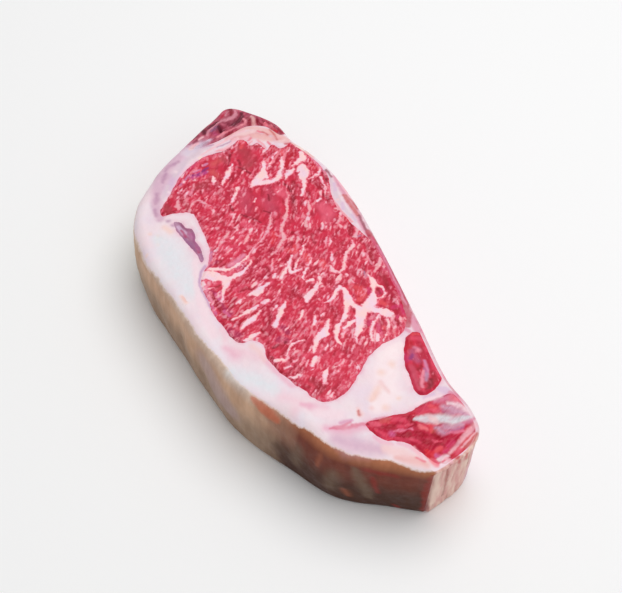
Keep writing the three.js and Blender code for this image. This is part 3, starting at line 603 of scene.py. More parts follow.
# The thicker veins of fat in the eye muscle: how rich they are, and their tapered paths.
VEINS = [
    # wedge
    (1, [(200, 276, 4.2), (206, 275.5, 5.3), (213, 276, 5.4), (219, 277.5, 4.2), (224, 280, 3.5),
      (229, 279.5, 2.5), (234, 277, 1.9), (239, 274.5, 1.6), (244, 271.5, 1.4), (248, 267, 1.2),
      (251, 262, 0.8)],
     [(207, 270, 1.5), (216, 270, 1.6), (224, 270.5, 1.3), (230, 269.5, 1.1), (235, 267, 1),
      (240, 263, 1.2), (245, 259.5, 1.3), (249, 255, 1.1), (253, 249, 0.9), (257, 245, 0.6)],
     [(226, 281, 3.6), (226, 285.5, 2.7), (224, 290, 1.7), (223, 296, 1), (222, 302, 0.7)],
     [(203, 284, 1.8), (204, 289, 1)], [(236, 267.5, 0.8), (240, 264, 0.8)],
     [(243, 266, 0.7), (246, 263, 0.9)], [(209, 288.5, 0.7), (215, 288, 0.7)]),
    # low left
    (1, [(250, 295.5, 1.6), (255, 294, 2.9), (260, 291, 3.1), (264, 287, 2.1), (268, 284.5, 1.9),
      (271, 283, 1.1)],
     [(232, 320, 0.8), (238, 318, 1.1), (243, 314.5, 1.5), (248, 311.5, 1.9), (253, 309, 1.5),
      (258, 306.5, 0.8)],
     [(236, 304, 0.7), (241, 301, 1), (245, 298, 0.7)],
     [(240, 330, 0.8), (244, 326.5, 1.5), (248, 323, 2.1), (253, 319.5, 2.7), (256, 315.5, 1.8),
      (260, 312, 1.2), (264, 309, 0.7)],
     [(286, 303, 1.4), (283, 307, 2.3), (281, 312, 2.6), (279, 317, 1.9), (277, 321, 1.6),
      (276, 325, 2.1), (276, 328, 1.5)],
     [(244, 341.5, 1.2), (248, 340, 2.3), (252, 337.5, 2.3), (256, 335, 1.7), (259, 333, 0.8)],
     [(264, 304, 1.1), (267, 301.5, 1.7), (269, 300, 1)], [(273, 311, 0.7), (276, 307, 0.8)],
     [(299, 320, 0.7), (302, 315, 1.2), (304, 311, 0.8)],
     [(286, 356, 1), (289, 350, 0.9), (293, 345, 0.9), (298, 341.5, 0.9), (304, 340, 0.8)],
     [(284, 369, 0.7), (290, 366, 1.1)], [(288, 377, 0.8), (295, 378, 1), (300, 375, 0.8)],
     [(274, 361.5, 1), (279, 361, 1.5), (284, 360.5, 0.9)]),
    # low middle
    (1, [(307, 301, 1.9), (308, 297, 3.3), (311, 293.5, 3), (314, 291, 2.1), (317, 288, 1.5),
      (320, 283, 1.1), (323, 277, 0.8)],
     [(313.5, 353, 0.9), (315, 347, 1.6), (317, 341, 2.4), (320, 336, 3.4), (324.5, 333.5, 3.5),
      (326, 329, 2.3), (327.5, 323, 1.7), (329, 319, 1.3)],
     [(312, 366, 1.2), (314, 362, 1.9), (316.5, 358, 1.8)],
     [(327, 370, 1.2), (325.5, 374, 2.4), (324, 378.5, 1.7), (323, 383, 1.1)],
     [(314, 325, 1.1), (315, 320, 1.3), (316, 315.5, 0.9)], [(321, 317, 0.9), (324, 313, 1)],
     [(328, 346, 1.2), (325, 349, 1)], [(333, 368, 0.8), (340, 366, 0.9)]),
    # cluster
    (1, [(293, 256, 0.9), (290.5, 260, 1.2), (288.5, 264, 2.1), (289.5, 269, 1.7), (292, 273, 1.7),
      (296, 271, 1.3), (301, 269, 0.9)],
     [(295, 270, 1.3), (297, 264, 1), (299.5, 258, 1), (302, 252.5, 1.1), (304, 247, 0.9),
      (307, 243, 0.6)],
     [(281, 266.5, 0.9), (285, 265, 1.3), (288, 263, 1.6)],
     [(279, 281, 0.9), (282, 277, 1.4), (284, 273, 1.6), (286, 269, 1.1)],
     [(303, 279, 1), (304, 273, 1.5), (307, 268, 1.1), (310, 263, 1), (311, 259, 0.8)],
     [(273, 277.5, 1.2), (276, 274, 0.9)], [(319, 280, 1.5), (321, 276, 1.8), (324, 273, 1.1)],
     [(307, 282, 0.9), (312, 280, 1.1)], [(314, 288, 0.8), (317, 283, 0.9)]),
    # hook
    (0.9, [(352, 241, 1.2), (353, 246, 1.6), (350, 250, 1.8), (346.5, 254, 2.1), (345, 259, 1.8),
      (344, 264, 1.6), (343, 269, 1.7), (340, 272, 1.5), (335, 271.5, 1.3), (331.5, 270.5, 1.9),
      (330.5, 267, 1.1)],
     [(331, 253, 0.9), (331.5, 257, 1.4), (332, 261, 1.1)]),
    # long arcs
    (0.75, [(288, 193, 0.6), (287, 201, 0.8), (287, 208, 1.1), (286, 215, 1.3), (284, 223, 1.5),
      (282.5, 230, 1.8), (283.5, 237, 1.6), (281, 243, 1.5), (277.5, 248.5, 1.3), (275, 253.5, 1.2),
      (271, 255.5, 1), (269, 257, 0.6)],
     [(271, 214, 0.6), (270, 224, 0.7), (267, 232, 0.7), (263, 239, 0.7), (257, 246, 0.7),
      (252, 252, 0.7), (248, 258, 0.8)],
     [(229, 232, 1.1), (224, 238, 1.7), (220, 245, 1.4), (216, 252, 1)],
     [(250, 233, 0.8), (247, 239, 1.4), (245, 243, 1.2)], [(306, 222, 1.5), (306, 227, 1.4)],
     [(309, 201, 1.2), (309, 208, 1.5), (308, 215, 1.1)],
     [(298, 236, 0.8), (299, 240, 1), (296, 244, 0.9)],
     [(327, 236, 0.8), (325.5, 241, 1), (326, 246, 0.8)], [(288, 241, 0.7), (290, 237, 0.8)]),
    # left patches
    (1, [(251.5, 188.5, 0.8), (254, 184.5, 2.3), (258, 180, 4.2), (262, 175, 4.6), (264, 169, 2.5),
      (264, 163, 1.1)],
     [(256, 184, 2.8), (262, 183, 2.8), (268, 182, 2.6), (273, 181, 1.8), (277, 180, 2.3),
      (280, 175.5, 2.5), (281, 170, 2.3), (282, 164, 1.9), (282, 158, 1.2)],
     [(266, 178, 2.4), (266, 171, 1.1), (268.5, 167, 1.2), (271, 162, 1), (273, 157, 1), (277, 152, 0.7)],
     [(232, 164, 0.6), (230, 169, 1.7), (228, 175, 2.6), (225, 180, 1.3), (222, 185, 0.8)],
     [(238, 187, 0.8), (236, 193, 1.2), (234, 199, 1.3), (231, 203, 1), (228, 207, 0.6)],
     [(212, 177, 0.8), (215, 182, 1.7), (213, 185, 1)], [(219, 188, 1.1)],
     [(255, 199, 1.3), (255, 203, 0.9)]),
    # upper patches
    (1, [(292, 166, 0.9), (296, 164, 1.9), (300, 161, 2.8), (304, 158, 3), (301, 153, 1.8)],
     [(298, 171, 2.6), (302, 168, 4.4), (305, 174, 4.8), (303, 178, 4), (299.5, 176, 2.4)],
     [(304, 181, 2.4), (304.5, 187, 1.9), (303, 192, 2), (302.5, 195, 1.1)],
     [(309, 178.5, 0.9), (314, 176.5, 1.1), (318, 174.5, 1.7), (320, 171, 1.5), (319, 168, 0.8)],
     [(285.5, 180, 0.9), (286.5, 176, 1.9), (289, 172.5, 2.2), (293, 169.5, 1.3)],
     [(321, 178, 0.8), (324, 184, 0.9), (328, 190, 0.9)], [(317, 201, 1), (320, 199, 1.3)],
     [(277, 193, 0.8), (279, 191, 0.8)]),
    # tongue
    (0.7, [(178, 200, 1), (177, 205, 2), (178, 209, 1.7), (175, 207, 1.2)],
     [(189, 214.5, 1.6), (190.5, 208, 1), (193, 203, 1), (198, 200, 0.8), (205, 204, 1.1),
      (210, 206, 0.8)],
     [(187, 195, 1.1), (185, 199, 0.8)], [(196, 195, 1.1)], [(203, 166, 0.7)]),
    # star
    (1, [(325, 303, 0.7), (330, 301.5, 1.2), (333.5, 297, 1.4), (336.5, 291, 1.5), (340.5, 287.5, 1.7),
      (344.5, 291, 2.1), (347, 297, 3.1), (348, 303, 3.9), (346.5, 309, 2.2), (345, 315, 1.7),
      (343, 320, 1.7)],
     [(343, 320, 1.7), (340, 324, 2), (337.5, 328, 2.7), (336.5, 334, 2.1), (337, 339, 1.4),
      (341, 344, 1)],
     [(350, 303, 3), (356, 307.5, 2.8), (361, 311, 4.4), (362, 314, 5)],
     [(361, 317, 5), (360, 324, 3.9), (358, 331, 2.5), (356, 338, 1.5), (358, 343, 1)],
     [(354, 321, 2), (349, 324, 2), (345, 328, 1.4)],
     [(366, 308.5, 4.8), (371, 303, 4.4), (374, 296.5, 2.8), (373, 290, 2), (374, 284.5, 2.8),
      (372, 280, 2.4), (368, 275, 1.1)],
     [(377, 285, 1.1), (383, 288, 1.1), (385.5, 293, 1.3), (383, 297.5, 1.2), (377, 298, 1)],
     [(371, 309.5, 3.4), (378, 310.5, 3), (384, 313, 3.7), (388.5, 315, 3.6), (392, 315, 2)],
     [(387, 320, 1.5), (389, 326, 1.2), (388, 331, 1.1), (385, 336, 0.9), (382, 341, 0.7)],
     [(378, 317, 1.1), (375, 322, 1.1), (372, 328, 1.3), (371, 334, 1.2), (372, 341, 1)],
     [(377, 334, 1.6), (377, 340, 1.8)]),
    # specks
    (0.75,
     [(362, 271, 1), (359, 271, 1.5), (357, 274, 1)], [(380, 258, 1.4), (378, 266, 1.4), (375, 272, 1)],
     [(357, 226, 1.3), (358, 232, 1.6), (355, 236.5, 1.6), (352.5, 237, 1)],
     [(353, 283, 0.8), (350, 279, 1), (348, 285, 0.9)],
     [(340, 218, 0.8), (337, 224, 0.9), (341, 228, 1.1)], [(346, 226, 0.8), (345, 229, 0.7)],
     [(394, 317, 0.7), (390, 322, 0.6)], [(320, 300, 1)], [(300, 351, 0.7), (292, 355, 1)],
     [(304, 358, 0.8), (300, 365, 0.8)], [(343, 350, 0.8), (345, 344, 0.9)],
     [(353, 330, 0.8), (352, 337, 0.9)], [(355, 345, 1), (351, 351, 1)], [(363, 338, 1), (360, 345, 0.9)]),
]

# ---- Soft shapes and numbers ----

def ease(low, high, x):
    """0 up to low, 1 from high on, and a smooth slope between."""
    t = np.clip((x - low) / (high - low), 0, 1)
    return t * t * (3 - 2 * t)


def part_way(band, x):
    """An amount that comes in between two places, given as (from, to, amount)."""
    low, high, amount = band
    return amount * ease(low, high, x)


def bell(x, middle, spread):
    """1 in the middle, falling off smoothly on both sides."""
    return np.exp(-(((x - middle) / spread) ** 2))


def hills(x, y, size, seed):
    """Soft random hills and dips between -1 and 1, each about one size across."""
    lattice = np.random.default_rng(seed).uniform(-1, 1, (256, 256))
    u, v = x / size, y / size
    i, j = np.floor(u).astype(int), np.floor(v).astype(int)
    a, b = ease(0, 1, u - i), ease(0, 1, v - j)

    def at(di, dj):
        return lattice[(i + di) % 256, (j + dj) % 256]

    near = at(0, 0) * (1 - a) + at(1, 0) * a
    far = at(0, 1) * (1 - a) + at(1, 1) * a
    return near * (1 - b) + far * b


def rough(x, y, size, seed):
    """Hills with smaller hills on them."""
    return hills(x, y, size, seed) + 0.5 * hills(x, y, size / 2.1, seed + 1) \
        + 0.25 * hills(x, y, size / 4.3, seed + 2)


def along_grain(x, y, degrees, length, width):
    """The place seen along the grain, so that a pattern of size 1 comes out long and narrow."""
    turn = math.radians(degrees)
    c, s = math.cos(turn), math.sin(turn)
    return (x * c + y * s) / length, (y * c - x * s) / width


def wandering(points, amount, size, seed):
    """Points pushed about a little, so that what is drawn on them gets an uneven edge."""
    x, y = points.T
    push = np.stack([rough(x, y, size, seed), rough(x, y, size, seed + 5)], 1)
    return points + amount * push


# ---- Lines ----

def even_steps(line, spacing):
    """A closed line cut into equal steps."""
    closed = np.vstack([line, line[:1]])
    length = np.append(0, np.cumsum(np.linalg.norm(np.diff(closed, axis=0), axis=1)))
    at = np.linspace(0, length[-1], round(length[-1] / spacing), endpoint=False)
    return np.stack([np.interp(at, length, closed[:, k]) for k in (0, 1)], 1)


def closed_curve(points, spacing):
    """A smooth closed line through a few points (a centripetal Catmull-Rom curve)."""
    here = np.array(points, float)
    before, after, coming = (np.roll(here, k, 0) for k in (1, -1, -2))
    d0, d1, d2 = (np.sqrt(np.linalg.norm(b - a, axis=1))[:, None]
                  for a, b in ((before, here), (here, after), (after, coming)))
    leaving = d1 * ((here - before) / d0 - (after - before) / (d0 + d1) + (after - here) / d1)
    arriving = d1 * ((after - here) / d1 - (coming - here) / (d1 + d2) + (coming - after) / d2)
    t = np.linspace(0, 1, 50, endpoint=False)[:, None, None]
    curve = (2 * t**3 - 3 * t**2 + 1) * here + (t**3 - 2 * t**2 + t) * leaving
    curve += (3 * t**2 - 2 * t**3) * after + (t**3 - t**2) * arriving
    return even_steps(curve.transpose(1, 0, 2).reshape(-1, 2), spacing)


def outwards(line):
    """The outward directions at the points of a closed counter-clockwise line."""
    ahead = sum(np.roll(line, -k, 0) - np.roll(line, k, 0) for k in (1, 2, 3))
    away = np.stack([ahead[:, 1], -ahead[:, 0]], 1)
    return away / np.linalg.norm(away, axis=1)[:, None]


def inside(points, line):
    """Which points lie inside a closed line."""
    within = np.zeros(len(points), bool)
    near = np.all((points >= line.min(0)) & (points <= line.max(0)), axis=1)
    x, y = points[near].T
    crossed = np.zeros(len(x), bool)
    for (ax, ay), (bx, by) in zip(line, np.roll(line, -1, 0)):
        if ay != by:
            crossed ^= ((ay > y) != (by > y)) & (x < ax + (y - ay) * (bx - ax) / (by - ay))
    within[near] = crossed
    return within


def nearest(points, line):
    """The distance from each point to a line of closely spaced points, and the nearest one's index."""
    tree = KDTree(len(line))
    for i, (x, y) in enumerate(line.tolist()):
        tree.insert((x, y, 0), i)
    tree.balance()
    found = [tree.find((x, y, 0))[1:] for x, y in points.tolist()]
    return np.array([f[1] for f in found]), np.array([f[0] for f in found])


# ---- The upper cut face as the camera sees it ----

def face_height(x, y):
    """The height of the upper cut face, which the knife left gently uneven."""
    waves = 0.55 * np.sin(x / 31 + 0.6) * np.cos(y / 23) + 0.3 * np.sin(x / 15 + y / 12)
    return THICKNESS + waves - part_way(TIP_DROOP, x) - part_way(TAIL_DROOP, x)


def toward(azimuth, elevation):
    """The direction from the target to what stands at an azimuth and elevation, in degrees."""
    a, e = math.radians(azimuth), math.radians(elevation)
    return np.array((math.sin(a) * math.cos(e), -math.cos(a) * math.cos(e), math.sin(e)))


TOWARD = toward(AZIMUTH, ELEVATION)
RIGHT = np.array((math.cos(math.radians(AZIMUTH)), math.sin(math.radians(AZIMUTH)), 0))
UP = np.cross(TOWARD, RIGHT)
CAMERA = np.array(TARGET) + TOWARD * DISTANCE
FOCAL = LENS / SENSOR * VIEW_WIDTH


def on_face(seen):
    """Where places of the view lie on the upper cut face."""
    seen = np.array(seen, float)
    across, down = seen[:, :1] - VIEW_WIDTH / 2, seen[:, 1:2] - VIEW_HEIGHT / 2
    ray = RIGHT * across - UP * down - TOWARD * FOCAL
    height = np.full(len(seen), float(THICKNESS))
    for _ in range(4):
        place = CAMERA + ray * ((height - CAMERA[2]) / ray[:, 2])[:, None]
        height = face_height(place[:, 0], place[:, 1])
    return place[:, :2]


def laid(path):
    """A path of the view, (across, down, half width), as (x, y, half width) on the cut face."""
    path = np.array(path, float)
    return np.column_stack([on_face(path), path[:, 2] * VIEW_STEP])


# ---- The outer wall ----

rim = closed_curve(RIM, WALL_STEP)
away = outwards(rim)
columns = len(rim)
rim_x, rim_y = rim.T
along = np.arange(columns) * WALL_STEP
at_seam = ease(0, 4, along) * ease(0, 4, along[-1] - along)  # the relief meets itself here
corner = along[np.argmin(np.hypot(rim_x - CORNER[0], rim_y - CORNER[1]))]
past_corner = ease(-1, 1, along - corner) * (rim_x > 80)
faces_cap = ease(*CAP_FACING, -away[:, 1])
cap = faces_cap * (1 - past_corner)  # 1 along the fat cap
end = past_corner * (1 - ease(*END_FADES, rim_y))  # 1 across the end of the tail
browned = np.maximum(cap, ease(88, 94, rim_x) * (rim_y < 20)) * (1 - past_corner)
trimmed = TRIM_DEPTH * bell(rim_x, TRIM_X, TRIM_SPREAD)
edge_round = EDGE_ROUND + (CAP_ROUND - EDGE_ROUND + trimmed) * faces_cap
rim_height = face_height(*(rim - away * edge_round[:, None]).T)


def creases(place, z):
    """Upright folds in the tail's end, between about -1 and 1."""
    return 0.8 * rough(place, z / 9, 3.1, 19) + 0.35 * rough(place, z / 7, 1.3, 23)


def wall_ring(z, upper):
    """The ring of the outer wall at height z, where the upper rounding takes off so much."""
    share = z / rim_height
    under = np.clip(FOOT_ROUND - z, 0, FOOT_ROUND)
    lower = FOOT_ROUND - np.sqrt(FOOT_ROUND**2 - under**2)
    bulge = CAP_BULGE * cap * np.sin(np.pi * share)
    folds = FOLD_DEPTH * cap * np.sin(rim_x / 5.2 + 2 * np.sin(rim_x / 17)) * share * (1 - share) * 4
    lean = part_way(TAIL_LEAN, rim_x) * (1 - share)
    shown = ease(0, 3, rim_height - z) * ease(0, 3, z) * at_seam
    lumps = 0.45 + 0.3 * rough(along, z * 0.7, 9, 11) + 0.1 * rough(along, z, 2.4, 15)
    leaning = along + GROOVE_LEAN * (THICKNESS - z)
    lobe = 0.8 * bell(leaning, corner + 3.4, 2)
    groove = GROOVE_DEPTH * bell(leaning, corner, 1)
    relief = lumps + end * (0.6 + 0.55 * creases(along, z)) - lobe + groove
    inset = upper + lower - bulge - folds + lean + shown * relief
    return np.column_stack([rim - away * inset[:, None], z])


def outer_wall():
    """The rings of the outer wall from the upper cut face down, and how far each lies past the edge."""
    upright = rim_height - edge_round
    rings, past = [], []
    for turn in np.radians((90, 78, 66, 54, 42, 30, 18, 8)):
        inset = edge_round * (1 - math.cos(turn))
        rings.append(wall_ring(rim_height - edge_round * (1 - math.sin(turn)), inset))
        past.append(-inset)
    for share in np.linspace(0, 1, WALL_ROWS):
        rings.append(wall_ring(upright * (1 - share) + FOOT_ROUND * share, 0))
        past.append(upright * share)
    for turn in np.radians((30, 60, 90)):
        rings.append(wall_ring(np.full(columns, FOOT_ROUND * (1 - math.sin(turn))), 0))
        past.append(rim_height)
    return np.array(rings), np.array(past)


# ---- The seams between the tissues ----

def drifted(line):
    """Where a line on the upper cut face comes out on the lower one, as the muscles run askew."""
    return line * DRIFT_SCALE + DRIFT_SHIFT


def kept_in(line, ring, gap=FINEST):
    """A muscle's outline kept a little inside the ring."""
    distance, index = nearest(line, ring)
    normal = outwards(ring)[index]
    depth = -np.einsum("ij,ij->i", line - ring[index], normal)
    return line - normal * np.clip(gap - depth, 0, None)[:, None]


wall, past_edge = outer_wall()
top_ring, foot_ring = wall[0][:, :2], wall[-1][:, :2]
loops = {name: closed_curve(on_face(line), SEAM_STEP) for name, line in SEAMS.items()}
loops = {name: kept_in(wandering(line, 0.3, 2.6, 51), top_ring) for name, line in loops.items()}

# The tip lies open on the outside, so its seam is a line between two columns of the wall.
tip_loop = closed_curve(TIP, SEAM_STEP)
tip_columns = np.flatnonzero(inside(top_ring, tip_loop))
first, last = tip_columns[0], tip_columns[-1]
depths = nearest(tip_loop, top_ring)[0]
seam = tip_loop[inside(tip_loop, top_ring) & (depths > 0.6)]
seam = np.roll(seam, -np.argmax(np.linalg.norm(np.diff(seam, axis=0, append=seam[:1]), axis=1)) - 1, 0)
if np.linalg.norm(seam[0] - top_ring[last]) > np.linalg.norm(seam[-1] - top_ring[last]):
    seam = seam[::-1]


def foot_seam():
    """The tip's seam on the lower cut face, between the same two columns."""
    t = np.linspace(0, 1, len(seam))[:, None]
    at_ends = (foot_ring[last] - top_ring[last]) * (1 - t) + (foot_ring[first] - top_ring[first]) * t
    middle = ease(0, 0.2, t) * ease(0, 0.2, 1 - t)
    return seam + (drifted(seam) - seam) * middle + at_ends * (1 - middle)


lower_seam = foot_seam()

# ---- The two cut faces, each one net of triangles shared out among the tissues ----

def scattered(line, spacing):
    """Points a little off an even grid, inside a closed line."""
    low, high = line.min(0), line.max(0)
    rows = np.arange(low[1], high[1], spacing * math.sqrt(3) / 2)
    across = np.arange(low[0], high[0], spacing)
    grid = np.array([(x + spacing / 2 * (k % 2), y) for k, y in enumerate(rows) for x in across])
    grid += np.random.default_rng(3).uniform(-0.16, 0.16, grid.shape) * spacing
    return grid[inside(grid, line)]


def cut_face(ring, muscle_loops, tip_seam, spacing, lean_spacing):
    """Points, triangles and the tissue of each triangle on one cut face."""
    lines = [ring, *muscle_loops.values(), tip_seam]
    starts = np.cumsum([0] + [len(line) for line in lines])
    edges = []
    for line, start in zip(lines[:-1], starts):
        edges += [(start + i, start + (i + 1) % len(line)) for i in range(len(line))]
    tip_line = [last, *range(starts[-2], starts[-1]), first]
    edges += list(zip(tip_line, tip_line[1:]))
    fixed = np.vstack(lines)

    tip_ring = np.vstack([ring[first:last + 1], tip_seam])
    muscles = [*muscle_loops.values(), tip_ring]
    grid = scattered(ring, spacing)
    grid = grid[~np.any([inside(grid, line) for line in muscles], axis=0)]
    grid = np.vstack([grid, *(scattered(line, lean_spacing) for line in muscles)])
    grid = grid[nearest(grid, fixed)[0] > 0.55 * lean_spacing]
    points = np.vstack([fixed, grid])

    result = delaunay_2d_cdt([Vector(p) for p in points.tolist()], edges, [], 0, 1e-7, True)
    source = np.array([origins[0] for origins in result[3]])
    triangles = source[np.array(result[2])]
    centres = points[triangles].mean(1)
    tissue = np.where(inside(centres, ring), "fat", "none").astype("U8")
    for name, line in (*muscle_loops.items(), ("tip", tip_ring)):
        tissue[inside(centres, line)] = name
    return points, triangles[tissue != "none"], tissue[tissue != "none"]


foot_loops = {name: drifted(line) for name, line in loops.items()}
top_points, top_faces, top_tissue = cut_face(top_ring, loops, seam, TOP_STEP, LEAN_STEP)
foot_points, foot_faces, foot_tissue = cut_face(foot_ring, foot_loops, lower_seam, FOOT_STEP, FOOT_STEP)
to_seam = nearest(top_points, np.vstack([*loops.values(), seam]))[0]
to_rim = nearest(top_points, top_ring)[0]
calm = ease(0, 1.3, to_seam) * ease(0, 1.5, to_rim)  # the relief dies out at the seams and the rim


def top_heights():
    """The height of each point of the upper cut face."""
    x, y = top_points.T
    owner = np.full(len(x), "fat", "U8")
    for name in LIFT:
        owner[np.unique(top_faces[top_tissue == name])] = name
    lift = sum(LIFT[name] * (owner == name) for name in LIFT)
    ragged = sum(RAGGED[name] * (owner == name) for name in RAGGED)
    u, v = along_grain(x, y, 115, 9, 2.2)
    ridges = np.where(np.isin(owner, ("tail", "tip")), rough(u, v, 1, 31), rough(x, y, 7, 37))
    relief = lift + ragged * ridges + 0.05 * rough(x, y, 1.6, 41)
    groove = SEAM_DEPTH * bell(to_seam, 0, 0.6) * ease(0, 1.2, to_rim)
    return face_height(x, y) + relief * calm - groove


def foot_heights():
    """The height of each point of the lower cut face, which is flat but for grooves at the seams."""
    to_foot_seam = nearest(foot_points, np.vstack([*foot_loops.values(), lower_seam]))[0]
    heights = 0.35 * bell(to_foot_seam, 0, 0.9)
    heights[:columns] = 0
    return heights


# ---- All points of the steak in one list, and the faces of each tissue ----

def tip_seam_rows():
    """The rows of the tip's seam between the two cut faces."""
    t = np.linspace(0, 1, len(seam))
    rows = []
    for ring in wall[1:-1]:
        z = ring[last, 2] * (1 - t) + ring[first, 2] * t
        down = (1 - z / THICKNESS)[:, None]
        rows.append(np.column_stack([seam * (1 - down) + lower_seam * down, z]))
    return np.vstack(rows)


middle_rings = len(wall) - 2
blocks = [
    np.column_stack([top_points, top_heights()]),
    np.column_stack([foot_points, foot_heights()]),
    wall[1:-1].reshape(-1, 3),
    tip_seam_rows(),
]
foot_start, wall_start, seam_start, _ = np.cumsum([len(block) for block in blocks])
all_points = np.vstack(blocks)


def strip(rows, closed):
    """Triangles between rows of point numbers, facing right of the way the rows run, going down."""
    faces = []
    for upper, lower in zip(rows, rows[1:]):
        ahead = slice(None) if closed else slice(0, -1)
        u, l = upper[ahead], lower[ahead]
        un, ln = np.roll(upper, -1)[ahead], np.roll(lower, -1)[ahead]
        faces += [np.stack([u, l, ln], 1), np.stack([u, ln, un], 1)]
    return np.vstack(faces)


def wall_rows(chosen):
    """The point numbers of the outer wall's rings at some of its columns."""
    between = [wall_start + k * columns + chosen for k in range(middle_rings)]
    return [chosen, *between, foot_start + chosen]


def facing(points, triangles, up):
    """Triangles turned to face up or down."""
    a, b, c = (points[triangles[:, k]] for k in range(3))
    turn = (b - a)[:, 0] * (c - a)[:, 1] - (b - a)[:, 1] * (c - a)[:, 0]
    return np.where(((turn > 0) == up)[:, None], triangles, triangles[:, ::-1])


def tissue_faces():
    """The triangles of each tissue as point numbers, all facing outwards."""
    inner = np.arange(len(seam))
    seam_top = columns + sum(map(len, loops.values()))
    between = [seam_start + k * len(seam) + inner for k in range(middle_rings)]
    inner_rows = [seam_top + inner, *between, foot_start + seam_top + inner]
    rings = wall_rows(np.arange(columns))
    tip_side = strip([np.concatenate([[ring[last]], row, [ring[first]]])
                      for ring, row in zip(rings, inner_rows)], False)
    fat_part = np.append(np.arange(last, columns), np.arange(0, first + 1))
    faces = {
        "fat": [strip(wall_rows(fat_part), False), tip_side[:, ::-1]],
        "tip": [strip(wall_rows(np.arange(first, last + 1)), False), tip_side],
    }
    start = columns
    for name, line in loops.items():
        upper = np.arange(start, start + len(line))
        sides = strip([upper, foot_start + upper], True)
        faces[name] = [sides]
        faces["fat"].append(sides[:, ::-1])
        start += len(line)
    for name, parts in faces.items():
        parts.append(facing(top_points, top_faces[top_tissue == name], True))
        parts.append(foot_start + facing(foot_points, foot_faces[foot_tissue == name], False))
    return {name: np.vstack(parts) for name, parts in faces.items()}


faces_of = tissue_faces()

# ---- What the skin of every point is like ----

def on_top(values, elsewhere):
    """A value for each point: these on the upper cut face, and one for all the others."""
    return np.append(values, np.full(len(all_points) - foot_start, elsewhere))


def on_outside(rings, upper_edge, lower_edge, elsewhere):
    """A value for each point: on the wall's rings, on the edges of the two cut faces, and elsewhere."""
    values = np.full(len(all_points), elsewhere)
    values[wall_start:seam_start] = rings
    values[:columns] = upper_edge
    values[foot_start:foot_start + columns] = lower_edge
    return values


def crust_border():
    """How far past the upper edge the dried outside starts, for each column of the wall."""
    wavy = 0.5 * rough(along, along * 0, 9, 61) + 0.2 * rough(along, along * 0, 2.2, 65)
    border = -0.4 - 1.1 * ease(-40, -12, rim_x) - 1.6 * ease(5, 25, rim_x) * (1 - ease(104, 114, rim_x))
    return border + wavy * at_seam


every_column = np.arange(columns)
wall_column = np.tile(every_column, middle_rings)
column_of = on_outside(wall_column, every_column, every_column, 0)
ring_depth = rim_height[wall_column] - all_points[wall_start:seam_start, 2]
depth = on_outside(ring_depth, 0, rim_height, 0.0)  # how far down the outer wall
border = crust_border()
past = on_outside((past_edge[1:-1] - border).ravel(), past_edge[0] - border, 9, -9.0)
crust = ease(-0.7, 0.9, past)  # 1 on the dried outside, 0 on the cut face
top = on_top(np.ones(foot_start), 0.0)
from_seam, settled = on_top(to_seam, 99.0), on_top(calm, 0.0)


def beyond(points, path):
    """How far each point lies outside a tapered path of (x, y, half width), and its width there."""
    path = np.array(path, float)
    if len(path) == 1:
        path = np.repeat(path, 2, 0)
    distance, width = np.full(len(points), 99.0), np.ones(len(points))
    reach = path[:, 2].max() + 5
    spread = np.ptp(path[:, :2], axis=0) / 2 + reach + 3
    near = np.all(np.abs(points - path[:, :2].mean(0)) < spread, axis=1)
    place, best, wide = points[near], distance[near], width[near]
    for a, b in zip(path, path[1:]):
        step = b[:2] - a[:2]
        t = np.clip((place - a[:2]) @ step / max(step @ step, 1e-9), 0, 1)
        w = a[2] + (b[2] - a[2]) * t
        d = np.hypot(*(place - a[:2] - t[:, None] * step).T) - w
        wide = np.where(d < best, w, wide)
        best = np.minimum(d, best)
    distance[near], width[near] = best, wide
    return distance, width


def painted(points, marks, taken=laid):
    """The colour and strength that a list of marks leaves on each point, laid over one another."""
    colour, strength = np.zeros((len(points), 3)), np.zeros(len(points))
    place = wandering(wandering(points, 0.3, 3.4, 71), 0.12, 1.1, 73)
    for paint, soft, *paths in marks:
        for path in paths:
            d, width = beyond(place, taken(path))
            fade = COVER * (1 - ease(-0.7 * soft * width - 0.1, 0.5 * soft * width + 0.3, d))
            colour = colour * (1 - fade)[:, None] + np.array(shade(*PAINTS[paint])) * fade[:, None]
            strength = strength * (1 - fade) + fade
    colour /= np.clip(strength, 1e-6, None)[:, None]
    return np.column_stack([colour, strength])


def laid_over(under, over, share):
    """One painted skin over another, as far as the share goes."""
    share = over[:, 3:] * share[:, None]
    rest = under[:, 3:] * (1 - share)
    colour = (under[:, :3] * rest + over[:, :3] * share) / np.clip(rest + share, 1e-6, None)
    return np.column_stack([colour, rest + share])


def store(mesh, name, values):
    """A value, or a colour with its strength, kept at each point of a mesh."""
    kind = "FLOAT_COLOR" if values.ndim == 2 else "FLOAT"
    layer = mesh.attributes.new(name, kind, "POINT")
    layer.data.foreach_set("color" if values.ndim == 2 else "value", values.astype(np.float32).ravel())


# ---- Fibres, and the fat between them ----

def grain_angle(tissue, plan):
    """The way a muscle's fibres run at each point, in radians."""
    samples = np.array(GRAIN[tissue], float)
    turn = np.radians(samples[:, 2])
    here = on_face(samples)
    there = on_face(samples[:, :2] + 5 * np.stack([np.cos(turn), -np.sin(turn)], 1))
    step_x, step_y = (there - here).T
    angle = np.arctan2(step_y, step_x)
    weight = 1 / (((plan[:, None] - here) ** 2).sum(2) + 8**2)
    return np.arctan2(weight @ np.sin(2 * angle), weight @ np.cos(2 * angle)) / 2


def combed(points, angle, width, length, seed):
    """Random hills drawn out along the fibres, with a spread of 1."""
    ahead = np.stack([np.cos(angle), np.sin(angle)], 1)
    steps = np.linspace(-length / 2, length / 2, 2 * round(length / width) + 1)
    total = sum(hills(*(points + ahead * step).T, width, seed) for step in steps)
    return total / total.std()


